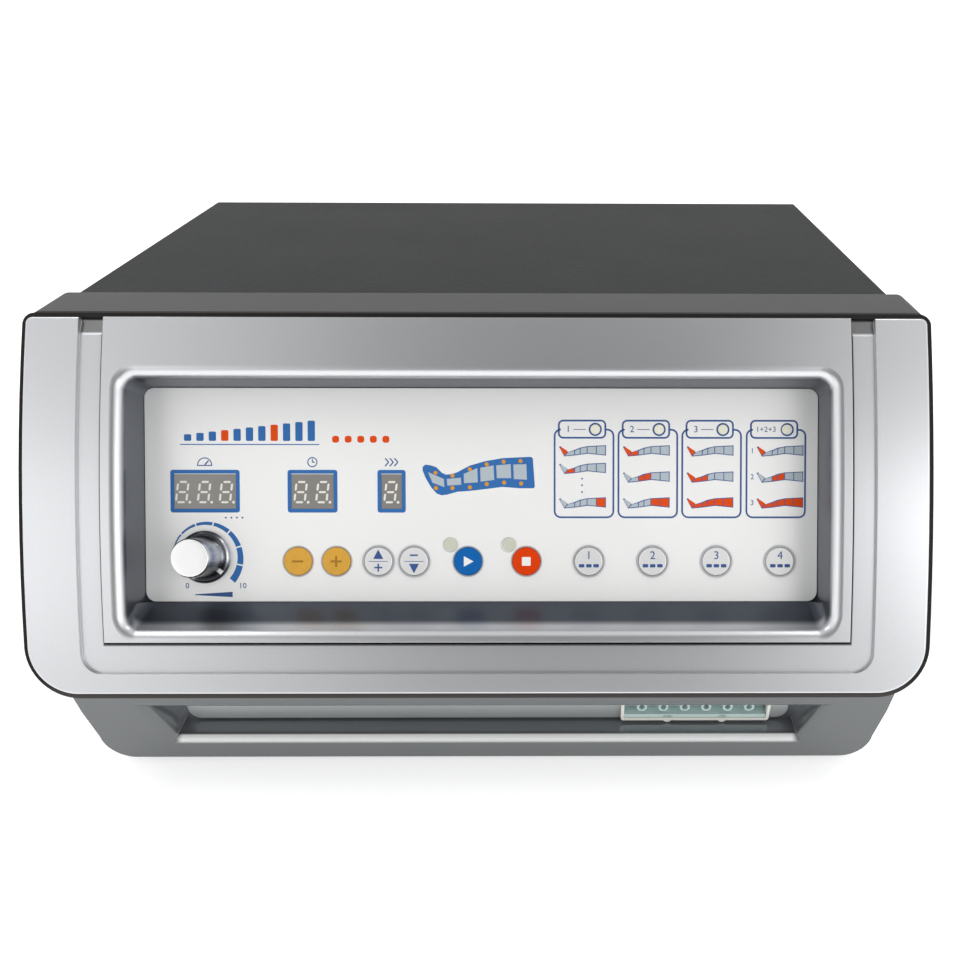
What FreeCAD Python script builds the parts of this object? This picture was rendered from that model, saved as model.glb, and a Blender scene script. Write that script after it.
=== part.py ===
import FreeCAD, Part
import math
import os
import re

import Sketcher

Vector = FreeCAD.Vector
Rotation = FreeCAD.Rotation
Placement = FreeCAD.Placement

doc = FreeCAD.newDocument("compression_therapy_pump")
sheet = doc.addObject("Spreadsheet::Sheet", "Sizes")

# Driving sizes in millimetres and degrees.
# Console sizes are along its own slope ("up the slope") and square to it ("deep").
driving_sizes = {
    # console outline
    "fascia_width": 395,
    "fascia_height": 168,
    "fascia_bottom": 64,
    "front_tilt": 33,
    "front_bulge": 4.5,
    "corner_radius": 23,
    "top_corner_radius": 5,
    # silver front frame, its dark edge trim and the U-shaped band round the bezel
    "frame_thickness": 5,
    "frame_edge_radius": 0.8,
    "trim_width": 2.2,
    "trim_drop": 1.6,
    "joint_gap": 0.1,
    "overshoot": 10,
    "frame_border": 25,
    "band_bottom": 11,
    "band_drop": 1.5,
    "band_corner_radius": 9,
    "band_bend_length": 7.5,
    "band_bend_drop": 2.6,
    # hood behind the front frame
    "hood_depth": 27.4,
    "hood_rise": 1.3,
    "hood_wall": 3,
    "hood_lip": 8,
    # inner bezel with its sunk tub
    "band_border": 9.75,
    "band_low_border": 13,
    "bezel_gap": 0.9,
    "bezel_thickness": 3,
    "bezel_border": 9.75,
    "recess_flare": 1.5,
    "bezel_low_border": 5.3,
    "recess_low_run": 11,
    "recess_top_drop": 28.4,
    "recess_rim_radius": 5,
    "recess_corner_radius": 5,
    "tub_wall": 2.5,
    "tub_floor": 2,
    "tub_flange": 6,
    # control panel
    "panel_depth": 17,
    "panel_top_drop": 29.8,
    "panel_thickness": 2,
    "panel_corner_radius": 4.6,
    "panel_gap": 0.2,
    # displays
    "display_height": 15.8,
    "display_level_share": 0.5144,
    "pressure_display_width": 28.9,
    "time_display_width": 19.9,
    "speed_display_width": 10,
    "pressure_display_share": -0.4118,
    "time_display_share": -0.2523,
    "speed_display_share": -0.134,
    "display_gap": 0.1,
    "digit_depth": 7.4,
    # keys
    "key_diameter": 12.7,
    "key_level_share": 0.1887,
    "key_rise": 1,
    "key_gap": 0.2,
    "key_flange": 0.6,
    "key_flange_thickness": 1.2,
    "key_back_gap": 0.3,
    "key_travel": 0.8,
    "key_stem_diameter": 5,
    "switch_side": 9.7,
    "switch_height": 3.4,
    "switch_button_height": 4,
    "amber_pair_share": -0.2456,
    "amber_pair_pitch": 17.5,
    "arrow_pair_share": -0.1281,
    "arrow_pair_pitch": 16.2,
    "start_key_share": -0.0216,
    "stop_key_share": 0.0654,
    "mode_key_share": 0.1585,
    "mode_pitch_share": 0.0951,
    "ring_width": 0.8,
    "ring_rise": 0.5,
    # lamps
    "lamp_diameter": 6.2,
    "lamp_gap": 1.5,
    "mode_lamp_diameter": 4.4,
    "mode_lamp_level_share": 0.8082,
    "mode_lamp_offset": 2.9,
    "lamp_rise": 0.3,
    # pressure knob
    "knob_share": -0.4118,
    "knob_level_share": 0.2093,
    "knob_skirt_diameter": 24,
    "knob_skirt_height": 2.4,
    "knob_base_diameter": 18.5,
    "knob_cap_diameter": 17.2,
    "knob_height": 17,
    "knob_clearance": 0.6,
    "knob_wall": 3,
    "knob_hub_start": 4,
    "knob_pointer_angle": -39,
    "knob_pointer_width": 1.8,
    "knob_pointer_height": 1.1,
    "shaft_diameter": 6,
    "shaft_clearance": 0.05,
    "bushing_diameter": 7,
    "pot_diameter": 16,
    "pot_height": 6,
    "pot_floor": 1,
    "bushing_rise": 2,
    # display board
    "board_thickness": 1.6,
    "display_board_gap": 7,
    "display_connector_place": 20,
    "display_connector_length": 30,
    "display_connector_side": 8,
    "driver_chip_place": -60,
    "driver_chip_length": 26,
    "driver_chip_width": 9,
    "driver_chip_height": 2.4,
    "post_diameter": 6,
    # lower chin moulding with the hose trough
    "chin_setback": 20,
    "chin_depth": 20,
    "chin_wall": 3,
    "chin_top_inset": 3,
    "chin_waist_inset": 6,
    "chin_waist_level": 36,
    "chin_foot_inset": 9.5,
    "chin_corner": 14,
    "trough_bottom": 18,
    "trough_height": 19.4,
    "trough_floor_inset": 46,
    "trough_mouth_inset": 37.5,
    "trough_depth": 14,
    "trough_wall": 2,
    "trough_lip_radius": 4.5,
    # hose socket in the trough
    "socket_inset": 9.5,
    "socket_width": 73.5,
    "socket_lift": 1.6,
    "socket_drop": 1.8,
    "socket_wall": 1.5,
    "socket_depth": 2.5,
    "socket_bump_radius": 2.2,
    "socket_bump_place": 13.6,
    "plate_inset": 49,
    "plate_thickness": 1.5,
    "plate_corner": 6,
    "plate_low_gap": 1.2,
    "plate_high_gap": 1,
    "nozzle_count": 6,
    "nozzle_pitch": 10.6,
    "nozzle_diameter": 5,
    "nozzle_bore": 3,
    "nozzle_length": 5,
    "outlet_block_depth": 10,
    "outlet_setback": 2,
    "outlet_step_inset": 0.6,
    "outlet_step_height": 2.2,
    "outlet_notch_diameter": 4.8,
    "outlet_notch_depth": 1,
    # sheet-metal case
    "cover_inset": 7.5,
    "cover_depth": 196,
    "cover_drop": 0.5,
    "cover_sheet": 1.2,
    "cover_bend": 2.5,
    "cover_gap": 0.3,
    "cover_bottom": 9,
    "foot_height": 5,
    "foot_diameter": 24,
    "foot_taper": 2,
    "foot_inset": 34,
    "foot_front_inset": 17,
    "tray_sheet": 1.2,
    "tray_flange": 22,
    "tray_front_height": 50,
    "rear_recess": 4,
    "screw_diameter": 3,
    "screw_head": 6,
    "screw_head_height": 1.8,
    "screw_length": 7,
    "side_screw_inset": 22,
    "rear_screw_inset": 14,
    "rear_screw_drop": 12,
    # rear panel: fan, mains inlet, switch and fuse
    "fan_size": 60,
    "fan_depth": 25,
    "fan_bore": 57,
    "fan_screw_spacing": 50,
    "fan_place": 120,
    "fan_level": 110,
    "fan_hub": 25,
    "fan_cup_rim": 2,
    "fan_cup_depth": 4,
    "fan_arm_width": 4,
    "fan_arm_depth": 3,
    "fan_rotor_gap": 0.6,
    "fan_tail_gap": 1.4,
    "fan_tip_gap": 1,
    "fan_blade_count": 7,
    "fan_blade_thickness": 1.6,
    "fan_blade_pitch": 38,
    "guard_wire": 1.6,
    "guard_ring_count": 4,
    "guard_inset": 0.3,
    "guard_pitch": 6.55,
    "inlet_place": -135,
    "inlet_level": 44,
    "inlet_width": 27,
    "inlet_height": 19.8,
    "inlet_depth": 24,
    "inlet_flange": 2,
    "inlet_wall": 1.5,
    "inlet_floor": 4,
    "contact_spread": 7,
    "contact_drop": 1.4,
    "contact_rise": 2.4,
    "contact_thickness": 2,
    "contact_height": 4,
    "contact_length": 12,
    "rocker_place": -96,
    "rocker_width": 15,
    "rocker_length": 21,
    "rocker_depth": 17,
    "rocker_angle": 9,
    "rocker_gap": 0.4,
    "rocker_step": 1.6,
    "rocker_end": 2.6,
    "rocker_root": 4.9,
    "rocker_pivot_depth": 1.2,
    "switch_lip": 1.5,
    "switch_wall": 1.2,
    "switch_well": 8.5,
    "fuse_place": -66,
    "fuse_diameter": 12.6,
    "fuse_length": 30,
    "fuse_lip": 1.4,
    "fuse_slot": 1.2,
    "vent_place": -112,
    "vent_slot_length": 40,
    "vent_slot_width": 3,
    "vent_slot_pitch": 7,
    "vent_slot_count": 9,
    # air pump
    "pump_place": -90,
    "pump_middle": -52,
    "pump_length": 96,
    "pump_width": 70,
    "pump_height": 58,
    "pump_wall": 4,
    "pump_head_length": 20,
    "pump_head_side": 54,
    "mount_height": 12,
    "mount_diameter": 14,
    "rod_diameter": 8,
    "rod_clearance": 0.05,
    "armature_stroke": 2,
    "diaphragm_diameter": 40,
    "diaphragm_thickness": 2,
    "diaphragm_gap": 1,
    "magnet_length": 32,
    "magnet_side": 20,
    "magnet_gap": 1,
    "pump_coil_length": 40,
    # valve manifold
    "manifold_middle": -38,
    "manifold_width": 28,
    "manifold_height": 22,
    "manifold_bottom": 18,
    "manifold_margin": 4,
    "stand_width": 12,
    "seat_depth": 4,
    "seat_gap": 0.3,
    "barb_length": 8,
    "valve_pitch": 22,
    "coil_diameter": 18,
    "coil_top_gap": 2.7,
    "coil_lid": 3,
    "plunger_diameter": 7,
    "plunger_clearance": 0.05,
    "plunger_length": 22,
    "valve_lift": 2,
    "tube_diameter": 6,
    "tube_bore": 3.8,
    # transformer and main board
    "transformer_place": -128,
    "transformer_middle": 52,
    "core_width": 66,
    "core_height": 55,
    "core_stack": 34,
    "core_leg": 11,
    "winding_swell": 9,
    "main_board_place": 15,
    "main_board_middle": 70,
    "main_board_width": 150,
    "main_board_length": 110,
    "main_board_level": 18,
    "board_margin": 6,
    "plug_count": 5,
    "plug_pitch": 24,
    "plug_width": 18,
    "plug_depth": 8,
    "plug_height": 9,
    "capacitor_diameter": 16,
    "capacitor_height": 28,
    "capacitor_pitch": 20,
    "sink_width": 22,
    "sink_length": 28,
    "sink_height": 24,
    "sink_base": 3,
    "sink_fin": 2,
    "sink_fin_count": 5,
    "relay_width": 20,
    "relay_length": 24,
    "relay_height": 16,
    "chip_side": 24,
    "chip_height": 2.5,
}

# Sizes that follow from the driving ones; expressions use them by name like any other.
derived_sizes = {
    "cover_width": "fascia_width - 2 * cover_inset",
    "band_width": "fascia_width - 2 * frame_border",
    "bezel_width": "band_width - 2 * band_border",
    "bezel_bottom": "band_bottom + band_low_border",
    "recess_bottom": "bezel_bottom + bezel_gap + bezel_low_border",
    "recess_top": "fascia_height - recess_top_drop",
    "recess_width": "panel_width + 2 * recess_flare",
    "panel_width": "bezel_width - 2 * bezel_border",
    "panel_bottom": "recess_bottom + recess_low_run",
    "panel_height": "fascia_height - panel_bottom - panel_top_drop",
    "lamp_distance": "(key_diameter + lamp_diameter) / 2 + lamp_gap",
    "chin_top_half": "fascia_width / 2 - chin_top_inset",
    "chin_waist_half": "fascia_width / 2 - chin_waist_inset",
    "chin_foot_half": "fascia_width / 2 - chin_foot_inset",
    "trough_top": "trough_bottom + trough_height",
    "trough_floor_half": "fascia_width / 2 - trough_floor_inset",
    "trough_mouth_half": "fascia_width / 2 - trough_mouth_inset",
    "plate_half": "fascia_width / 2 - plate_inset",
    "socket_bottom": "trough_bottom + socket_lift",
    "socket_height": "trough_height - socket_lift - socket_drop",
    "socket_place": "plate_half - socket_inset - socket_width / 2",
    "coil_height": "plunger_length - seat_depth + seat_gap + valve_lift + coil_top_gap + coil_lid",
}

for row, (alias, number) in enumerate(driving_sizes.items(), start=1):
    sheet.set(f"A{row}", alias.replace("_", " "))
    sheet.set(f"B{row}", str(number))
    sheet.setAlias(f"B{row}", alias)
doc.recompute()

alias_word = re.compile(r"\b(" + "|".join(driving_sizes) + r")\b")
derived_word = re.compile(r"\b(" + "|".join(derived_sizes) + r")\b")
sub_parts = []
near = 0.05  # places closer together than this are the same


# ---- helpers: expressions, sketches, features and primitives ----

def expanded(expression):
    text = str(expression)
    while derived_word.search(text):
        text = derived_word.sub(lambda found: f"({derived_sizes[found.group()]})", text)
    return text


def linked(expression):
    return alias_word.sub(r"Sizes.\1", expanded(expression))


def size(expression):
    return float(sheet.evalExpression(expanded(expression)))


def bind(item, property_name, expression):
    item.setExpression(property_name, linked(expression))


def bind_all(item, links):
    for property_name, expression in links.items():
        bind(item, property_name, expression)


def bind_place(item, x, y, z):
    bind_all(item, {"Placement.Base.x": x, "Placement.Base.y": y, "Placement.Base.z": z})


def keep(item, name):
    item.Label = name
    sub_parts.append(item)
    return item


def sketch_on(body, role, name, offset="0"):
    sketch = body.newObject("Sketcher::SketchObject", name)
    plane = next(feature for feature in body.Origin.OriginFeatures if feature.Role == role)
    sketch.AttachmentSupport = [(plane, "")]
    sketch.MapMode = "FlatFace"
    bind(sketch, "AttachmentOffset.Base.z", offset)
    return sketch


def add_constraints(sketch, rules):
    # rules pair each constraint with the expression that drives it, or None
    numbers = sketch.addConstraint([constraint for constraint, _ in rules])
    for number, (_, expression) in zip(numbers, rules):
        if expression is not None:
            bind(sketch, f"Constraints[{number}]", expression)


def point_rules(curve, point, x, y):
    return [(Sketcher.Constraint(kind, -1, 1, curve, point, size(expression)), expression)
            for kind, expression in (("DistanceX", x), ("DistanceY", y))]


def arc_between(first, last, radius):
    # radius > 0 turns counter-clockwise from first to last, radius < 0 clockwise
    begin, end = (first, last) if radius > 0 else (last, first)
    half_chord = (end - begin).Length / 2
    to_the_left = Vector(begin.y - end.y, end.x - begin.x, 0).normalize()
    rise = math.sqrt(max(radius ** 2 - half_chord ** 2, 0))
    circle = Part.Circle((begin + end) / 2 + to_the_left * rise, Vector(0, 0, 1), abs(radius))
    return Part.ArcOfCircle(circle, circle.parameter(begin), circle.parameter(end))


def draw_loop(sketch, corners):
    # corners run counter-clockwise; a third entry makes the edge after that corner an arc
    first_curve = sketch.GeometryCount
    places = [Vector(size(corner[0]), size(corner[1]), 0) for corner in corners]
    bends = [size(corner[2]) if len(corner) == 3 else None for corner in corners]
    count = len(corners)
    for index, bend in enumerate(bends):
        here, following = places[index], places[(index + 1) % count]
        curve = Part.LineSegment(here, following) if bend is None else arc_between(here, following, bend)
        sketch.addGeometry(curve)
    ends = [(2, 1) if bend is not None and bend < 0 else (1, 2) for bend in bends]
    rules = []
    for index, corner in enumerate(corners):
        curve = first_curve + index
        following = (index + 1) % count
        meeting = Sketcher.Constraint("Coincident", curve, ends[index][1],
                                      first_curve + following, ends[following][0])
        rules.append((meeting, None))
        rules += point_rules(curve, ends[index][0], corner[0], corner[1])
        if bends[index] is not None:
            radius = Sketcher.Constraint("Radius", curve, abs(bends[index]))
            rules.append((radius, f"abs({corner[2]})"))
    add_constraints(sketch, rules)


def rectangle(x, y, width, height):
    left, right = f"({x}) - ({width}) / 2", f"({x}) + ({width}) / 2"
    low, high = f"({y}) - ({height}) / 2", f"({y}) + ({height}) / 2"
    return [(left, low), (right, low), (right, high), (left, high)]


def rounded_rectangle(x, y, width, height, radius):
    left, right = f"({x}) - ({width}) / 2", f"({x}) + ({width}) / 2"
    low, high = f"({y}) - ({height}) / 2", f"({y}) + ({height}) / 2"
    return [(f"{left} + {radius}", low), (f"{right} - {radius}", low, radius),
            (right, f"{low} + {radius}"), (right, f"{high} - {radius}", radius),
            (f"{right} - {radius}", high), (f"{left} + {radius}", high, radius),
            (left, f"{high} - {radius}"), (left, f"{low} + {radius}", radius)]


def draw_circle(sketch, x, y, diameter):
    centre = Vector(size(x), size(y), 0)
    curve = sketch.addGeometry(Part.Circle(centre, Vector(0, 0, 1), size(diameter) / 2))
    rules = [(Sketcher.Constraint("Diameter", curve, size(diameter)), diameter)]
    add_constraints(sketch, rules + point_rules(curve, 3, x, y))


def pad(body, sketch, length, side="One side", backwards=False):
    feature = body.newObject("PartDesign::Pad", sketch.Name + "Pad")
    feature.Profile = sketch
    feature.SideType = side
    feature.Reversed = backwards
    bind(feature, "Length", length)
    return feature


def pocket(body, sketch, length, side="One side", backwards=False):
    doc.recompute()
    volume_before = body.Tip.Shape.Volume
    feature = body.newObject("PartDesign::Pocket", sketch.Name + "Pocket")
    feature.Profile = sketch
    feature.SideType = side
    feature.Reversed = backwards
    bind(feature, "Length", length)
    doc.recompute()
    if feature.Shape.Volume > volume_before - 0.01:
        raise RuntimeError(f"{feature.Name} removes nothing")
    return feature


def revolve(body, sketch):
    feature = body.newObject("PartDesign::Revolution", sketch.Name + "Turn")
    feature.Profile = sketch
    feature.ReferenceAxis = (sketch, ["V_Axis"])
    return feature


def round_edges(body, radius, wanted):
    doc.recompute()
    base = body.Tip
    edges = [f"Edge{number}" for number, edge in enumerate(base.Shape.Edges, start=1) if wanted(edge)]
    if not edges:
        raise RuntimeError(f"{body.Name} has no edge to round")
    feature = body.newObject("PartDesign::Fillet", body.Name + "Rounding")
    feature.Base = (base, edges)
    bind(feature, "Radius", radius)
    doc.recompute()
    if "Invalid" in feature.State:
        raise RuntimeError(f"{feature.Name} can't be rounded")
    return feature


def runs_along(edge, axis):
    if edge.Curve.TypeId != "Part::GeomLine":
        return False
    direction = (edge.Vertexes[-1].Point - edge.Vertexes[0].Point).normalize()
    return abs(direction.dot(axis)) > 0.999


def box(x, y, z, length, width, height):
    item = doc.addObject("Part::Box", "Block")
    bind_all(item, {"Length": length, "Width": width, "Height": height})
    bind_place(item, x, y, z)
    return item


axis_turns = {"+X": Rotation(Vector(0, 1, 0), 90), "-X": Rotation(Vector(0, 1, 0), -90),
              "+Y": Rotation(Vector(1, 0, 0), -90), "-Y": Rotation(Vector(1, 0, 0), 90), "+Z": Rotation()}
opposite = {"+X": "-X", "-X": "+X", "+Y": "-Y"}


def cylinder(x, y, z, diameter, height, axis="+Z"):
    item = doc.addObject("Part::Cylinder", "Rod")
    item.Placement = Placement(Vector(), axis_turns[axis])
    bind_all(item, {"Radius": f"({diameter}) / 2", "Height": height})
    bind_place(item, x, y, z)
    return item


def cone(x, y, z, low_diameter, high_diameter, height):
    item = doc.addObject("Part::Cone", "Taper")
    bind_all(item, {"Radius1": f"({low_diameter}) / 2", "Radius2": f"({high_diameter}) / 2",
                    "Height": height})
    bind_place(item, x, y, z)
    return item


def fuse(pieces):
    item = doc.addObject("Part::MultiFuse", "Joined")
    item.Shapes = pieces
    return item


def cut(base, tools):
    item = doc.addObject("Part::Cut", "Machined")
    item.Base = base
    item.Tool = tools[0] if len(tools) == 1 else fuse(tools)
    return item


def group(pieces):
    item = doc.addObject("Part::Compound", "Group")
    item.Links = pieces
    return item


def new_body(name):
    return keep(doc.addObject("PartDesign::Body", name), name)


# ---- places that several sub-parts share ----

front_radius = "(fascia_height^2 / 8 / front_bulge + front_bulge / 2)"


def bulge_at(up, depth):
    # height over the chord plane of the bulged face moved inwards by depth
    reach = f"({front_radius} - ({depth}))^2 - (({up}) - fascia_height / 2)^2"
    return f"(sqrt({reach}) - {front_radius} + front_bulge)"


# the frame's lower edge is the foremost point, and the cover's rear edge the rearmost
front_reach = f"(trim_width * sin(front_tilt) - {bulge_at('trim_width', '0')} * cos(front_tilt))"
console_depth = "(fascia_height * sin(front_tilt) + hood_depth + cover_depth)"
overall_depth = f"({console_depth} - {front_reach})"
front_y = f"(-{overall_depth} / 2 - {front_reach})"
rear_y = f"({overall_depth} / 2)"
hood_front = "(frame_thickness + joint_gap)"
hood_edge = f"({front_radius} - sqrt(({front_radius} - {hood_front})^2 - fascia_height^2 / 4) - front_bulge)"
hood_top_z = f"(fascia_bottom + fascia_height * cos(front_tilt) - {hood_edge} * sin(front_tilt) + hood_rise)"
hood_bottom_z = f"(fascia_bottom - {hood_edge} * sin(front_tilt))"
# the hood's bulged front runs on upwards by its rise, so its top starts this far back
hood_end_slope = f"(fascia_height / 2 / sqrt(({front_radius} - {hood_front})^2 - fascia_height^2 / 4))"
hood_top_back = f"(hood_rise * (tan(front_tilt) + {hood_end_slope}) / (1 - {hood_end_slope} * tan(front_tilt)))"
hood_bottom_rear_y = f"({front_y} + {hood_edge} * cos(front_tilt) + hood_depth)"
hood_top_rear_y = f"({hood_bottom_rear_y} + fascia_height * sin(front_tilt))"
chin_front_y = f"({front_y} + chin_setback)"
chin_rear_y = f"({chin_front_y} + chin_depth)"
tray_front_y = f"({chin_rear_y} + joint_gap)"
trough_back_y = f"({chin_front_y} + trough_depth)"
tray_top_z = "(foot_height + tray_sheet)"
cover_top_z = f"({hood_top_z} - cover_drop)"
rear_panel_y = f"({rear_y} - rear_recess - tray_sheet)"
panel_middle = "(panel_bottom + panel_height / 2)"
panel_back = "(panel_depth + panel_thickness)"
tub_back = "(panel_depth + panel_thickness + tub_floor)"
display_board_front = f"({tub_back} + display_board_gap)"
socket_middle_z = "(socket_bottom + socket_height / 2)"


def on_console(item, x="0", up="0"):
    # x across the console, up its slope; local +Z then points out of the console's face
    item.Placement = Placement(Vector(), Rotation(Vector(1, 0, 0), 1))
    bind_place(item, x, f"{front_y} + ({up}) * sin(front_tilt)", f"fascia_bottom + ({up}) * cos(front_tilt)")
    bind(item, "Placement.Rotation.Angle", "90 - front_tilt")
    return item


def bulged_plate(body, name, low, high, outer, inner, width):
    # plate of even thickness that follows the console's bulged face
    profile = sketch_on(body, "YZ_Plane", name)
    draw_loop(profile, [
        (low, bulge_at(low, inner), f"-({front_radius} - ({inner}))"),
        (high, bulge_at(high, inner)),
        (high, bulge_at(high, outer), f"{front_radius} - ({outer})"),
        (low, bulge_at(low, outer)),
    ])
    return pad(body, profile, width, side="Symmetric")


def corner_edge(half_width, up):
    # edge square to the console's face at one corner of a plate
    def wanted(edge):
        middle = edge.CenterOfMass
        if not runs_along(edge, Vector(0, 0, 1)):
            return False
        return abs(abs(middle.x) - size(half_width)) < near and abs(middle.y - size(up)) < near
    return wanted


def round_outline(body, width, low, high, low_radius, high_radius):
    half_width = f"({width}) / 2"
    round_edges(body, low_radius, corner_edge(half_width, low))
    round_edges(body, high_radius, corner_edge(half_width, high))


# ---- console mouldings ----

def build_front_frame():
    body = new_body("front_frame")
    width = "(fascia_width - 2 * trim_width)"
    low, high = "trim_width", "(fascia_height - trim_width)"
    bulged_plate(body, "FrameSection", low, high, "0", "frame_thickness", width)
    round_outline(body, width, low, high, "corner_radius - trim_width", "top_corner_radius - trim_width")
    face = max(body.Tip.Shape.Faces, key=lambda item: item.Area * (item.CenterOfMass.z > 0))
    rim = [edge.CenterOfMass for edge in face.OuterWire.Edges]
    round_edges(body, "frame_edge_radius",
                lambda edge: any(edge.CenterOfMass.isEqual(place, near) for place in rim))

    band = sketch_on(body, "YZ_Plane", "BandSection")
    bend = "(fascia_height - trim_width - band_bend_length)"
    above = "(front_bulge * 3)"
    draw_loop(band, [
        ("band_bottom", bulge_at("band_bottom", "band_drop"), f"-({front_radius} - band_drop)"),
        (bend, bulge_at(bend, "band_drop")),
        ("fascia_height", f"{bulge_at(bend, 'band_drop')} - band_bend_drop"),
        ("fascia_height", above),
        ("band_bottom", above),
    ])
    pocket(body, band, "band_width", side="Symmetric")
    round_edges(body, "band_corner_radius", corner_edge("band_width / 2", "band_bottom"))

    window = sketch_on(body, "XY_Plane", "BezelWindow")
    window_height = "(fascia_height * 2)"
    draw_loop(window, rectangle("0", f"bezel_bottom + {window_height} / 2", "bezel_width", window_height))
    pocket(body, window, "fascia_height", side="Symmetric")
    on_console(body)


def build_edge_trim():
    body = new_body("edge_trim")
    bulged_plate(body, "TrimSection", "0", "fascia_height", "trim_drop", "frame_thickness", "fascia_width")
    round_outline(body, "fascia_width", "0", "fascia_height", "corner_radius", "top_corner_radius")
    inner = sketch_on(body, "XY_Plane", "TrimInside")
    inset = "(trim_width - joint_gap)"
    left, right = f"(-fascia_width / 2 + {inset})", f"(fascia_width / 2 - {inset})"
    low, high = inset, f"(fascia_height - {inset})"
    low_radius, high_radius = f"(corner_radius - {inset})", f"(top_corner_radius - {inset})"
    draw_loop(inner, [
        (f"{left} + {low_radius}", low), (f"{right} - {low_radius}", low, low_radius),
        (right, f"{low} + {low_radius}"), (right, f"{high} - {high_radius}", high_radius),
        (f"{right} - {high_radius}", high), (f"{left} + {high_radius}", high, high_radius),
        (left, f"{high} - {high_radius}"), (left, f"{low} + {low_radius}", low_radius),
    ])
    pocket(body, inner, "fascia_height", side="Symmetric")
    on_console(body)


def hood_section(body, name, top_wall, bottom_wall, front, rear, top_back="0", front_bend=None):
    # slanted side view of the hood; front and rear are distances from its front edge, level with the floor
    def corner(up, wall, back):
        return (f"{up} - ({wall}) * cos(front_tilt) + ({back}) * sin(front_tilt)",
                f"-{hood_edge} - ({wall}) * sin(front_tilt) - ({back}) * cos(front_tilt)")
    section = sketch_on(body, "YZ_Plane", name)
    top_front = corner("fascia_height", top_wall, f"({front}) + {top_back}")
    if front_bend is not None:
        top_front += (front_bend,)
    draw_loop(section, [corner("0", f"-({bottom_wall})", front), corner("0", f"-({bottom_wall})", rear),
                        corner("fascia_height", top_wall, rear), top_front])
    return section


def build_hood():
    body = new_body("hood")
    section = hood_section(body, "HoodSection", "-hood_rise", "0", "0", "hood_depth", hood_top_back,
                           front_bend=f"({front_radius} - {hood_front})")
    pad(body, section, "fascia_width", side="Symmetric")
    inner_width = "(fascia_width - 2 * hood_wall)"
    inside = hood_section(body, "HoodInside", "hood_wall", "hood_wall", "-hood_depth",
                          "hood_depth - hood_wall")
    pocket(body, inside, inner_width, side="Symmetric")

    depth_direction = Vector(0, size("sin(front_tilt)"), -size("cos(front_tilt)"))
    middle_up = size("fascia_height / 2")

    def side_corner(width, upper):
        def wanted(edge):
            middle = edge.CenterOfMass
            at_side = abs(abs(middle.x) - size(width) / 2) < near
            return at_side and runs_along(edge, depth_direction) and (middle.y > middle_up) == upper
        return wanted

    round_edges(body, "corner_radius - hood_wall", side_corner(inner_width, upper=False))
    round_edges(body, "corner_radius", side_corner("fascia_width", upper=False))
    round_edges(body, "top_corner_radius", side_corner("fascia_width", upper=True))
    through = hood_section(body, "HoodOpening", "hood_lip", "hood_lip", "-hood_depth", "hood_depth * 2")
    pocket(body, through, "cover_width - 2 * hood_lip", side="Symmetric")
    on_console(body)


def build_inner_bezel():
    body = new_body("inner_bezel")
    width = "(bezel_width - 2 * bezel_gap)"
    low, high = "(bezel_bottom + bezel_gap)", "(fascia_height - trim_width)"
    section = sketch_on(body, "YZ_Plane", "BezelSection")
    draw_loop(section, [
        (low, f"-{tub_back}"), (high, f"-{tub_back}"),
        (high, bulge_at(high, "0"), front_radius), (low, bulge_at(low, "0")),
    ])
    pad(body, section, width, side="Symmetric")

    # the recess narrows from its mouth to the panel and keeps the panel's size behind it
    recess = sketch_on(body, "YZ_Plane", "RecessSection")
    floor_low, floor_high = "(panel_bottom - panel_gap)", "(panel_bottom + panel_height + panel_gap)"
    reach = "(front_bulge * 2)"
    low_slope = f"(({floor_low} - recess_bottom) / panel_depth)"
    high_slope = f"((recess_top - {floor_high}) / panel_depth)"
    draw_loop(recess, [
        (f"recess_bottom - {low_slope} * {reach}", reach),
        (floor_low, "-panel_depth"),
        (floor_low, f"-{panel_back}"),
        (floor_high, f"-{panel_back}"),
        (floor_high, "-panel_depth"),
        (f"recess_top + {high_slope} * {reach}", reach),
    ])
    pocket(body, recess, "panel_width + 2 * panel_gap", side="Symmetric")
    through = sketch_on(body, "XY_Plane", "TubOpening", offset=f"-({panel_back} + tub_floor / 2)")
    draw_loop(through, rectangle("0", panel_middle, "panel_width - 2 * tub_flange",
                                 "panel_height - 2 * tub_flange"))
    pocket(body, through, "tub_floor * 4", side="Symmetric")

    side = size("panel_width / 2 + panel_gap")

    def recess_corner(edge):
        ends = [vertex.Point for vertex in edge.Vertexes]
        at_side = all(abs(abs(end.x) - side) < near for end in ends + [edge.CenterOfMass])
        heights = [end.z for end in ends]
        return at_side and max(heights) > 0 and min(heights) < -size("panel_depth") / 2

    def recess_rim(edge):
        middle = (edge.FirstParameter + edge.LastParameter) / 2
        reach_up = size("recess_rim_radius")
        for point in map(edge.valueAt, (edge.FirstParameter, middle, edge.LastParameter)):
            on_face = abs(point.z - size(bulge_at(str(point.y), "0"))) < size("panel_gap") + near
            within = size("recess_bottom") - reach_up < point.y < size("recess_top") + reach_up
            if not on_face or not within or abs(point.x) > side + near:
                return False
        return True

    round_edges(body, "recess_corner_radius", recess_corner)
    round_edges(body, "recess_rim_radius", recess_rim)

    behind = sketch_on(body, "XY_Plane", "BezelBack", offset=f"-{tub_back}")
    draw_loop(behind, rectangle("0", "fascia_height / 2", "fascia_width", "fascia_height * 2"))
    tub_low, tub_high = "(recess_bottom - tub_wall)", "(recess_top + tub_wall)"
    draw_loop(behind, rectangle("0", f"({tub_low} + {tub_high}) / 2", "recess_width + 2 * tub_wall",
                                f"{tub_high} - {tub_low}"))
    pocket(body, behind, f"{tub_back} - bezel_thickness", backwards=True)
    on_console(body)


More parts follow.
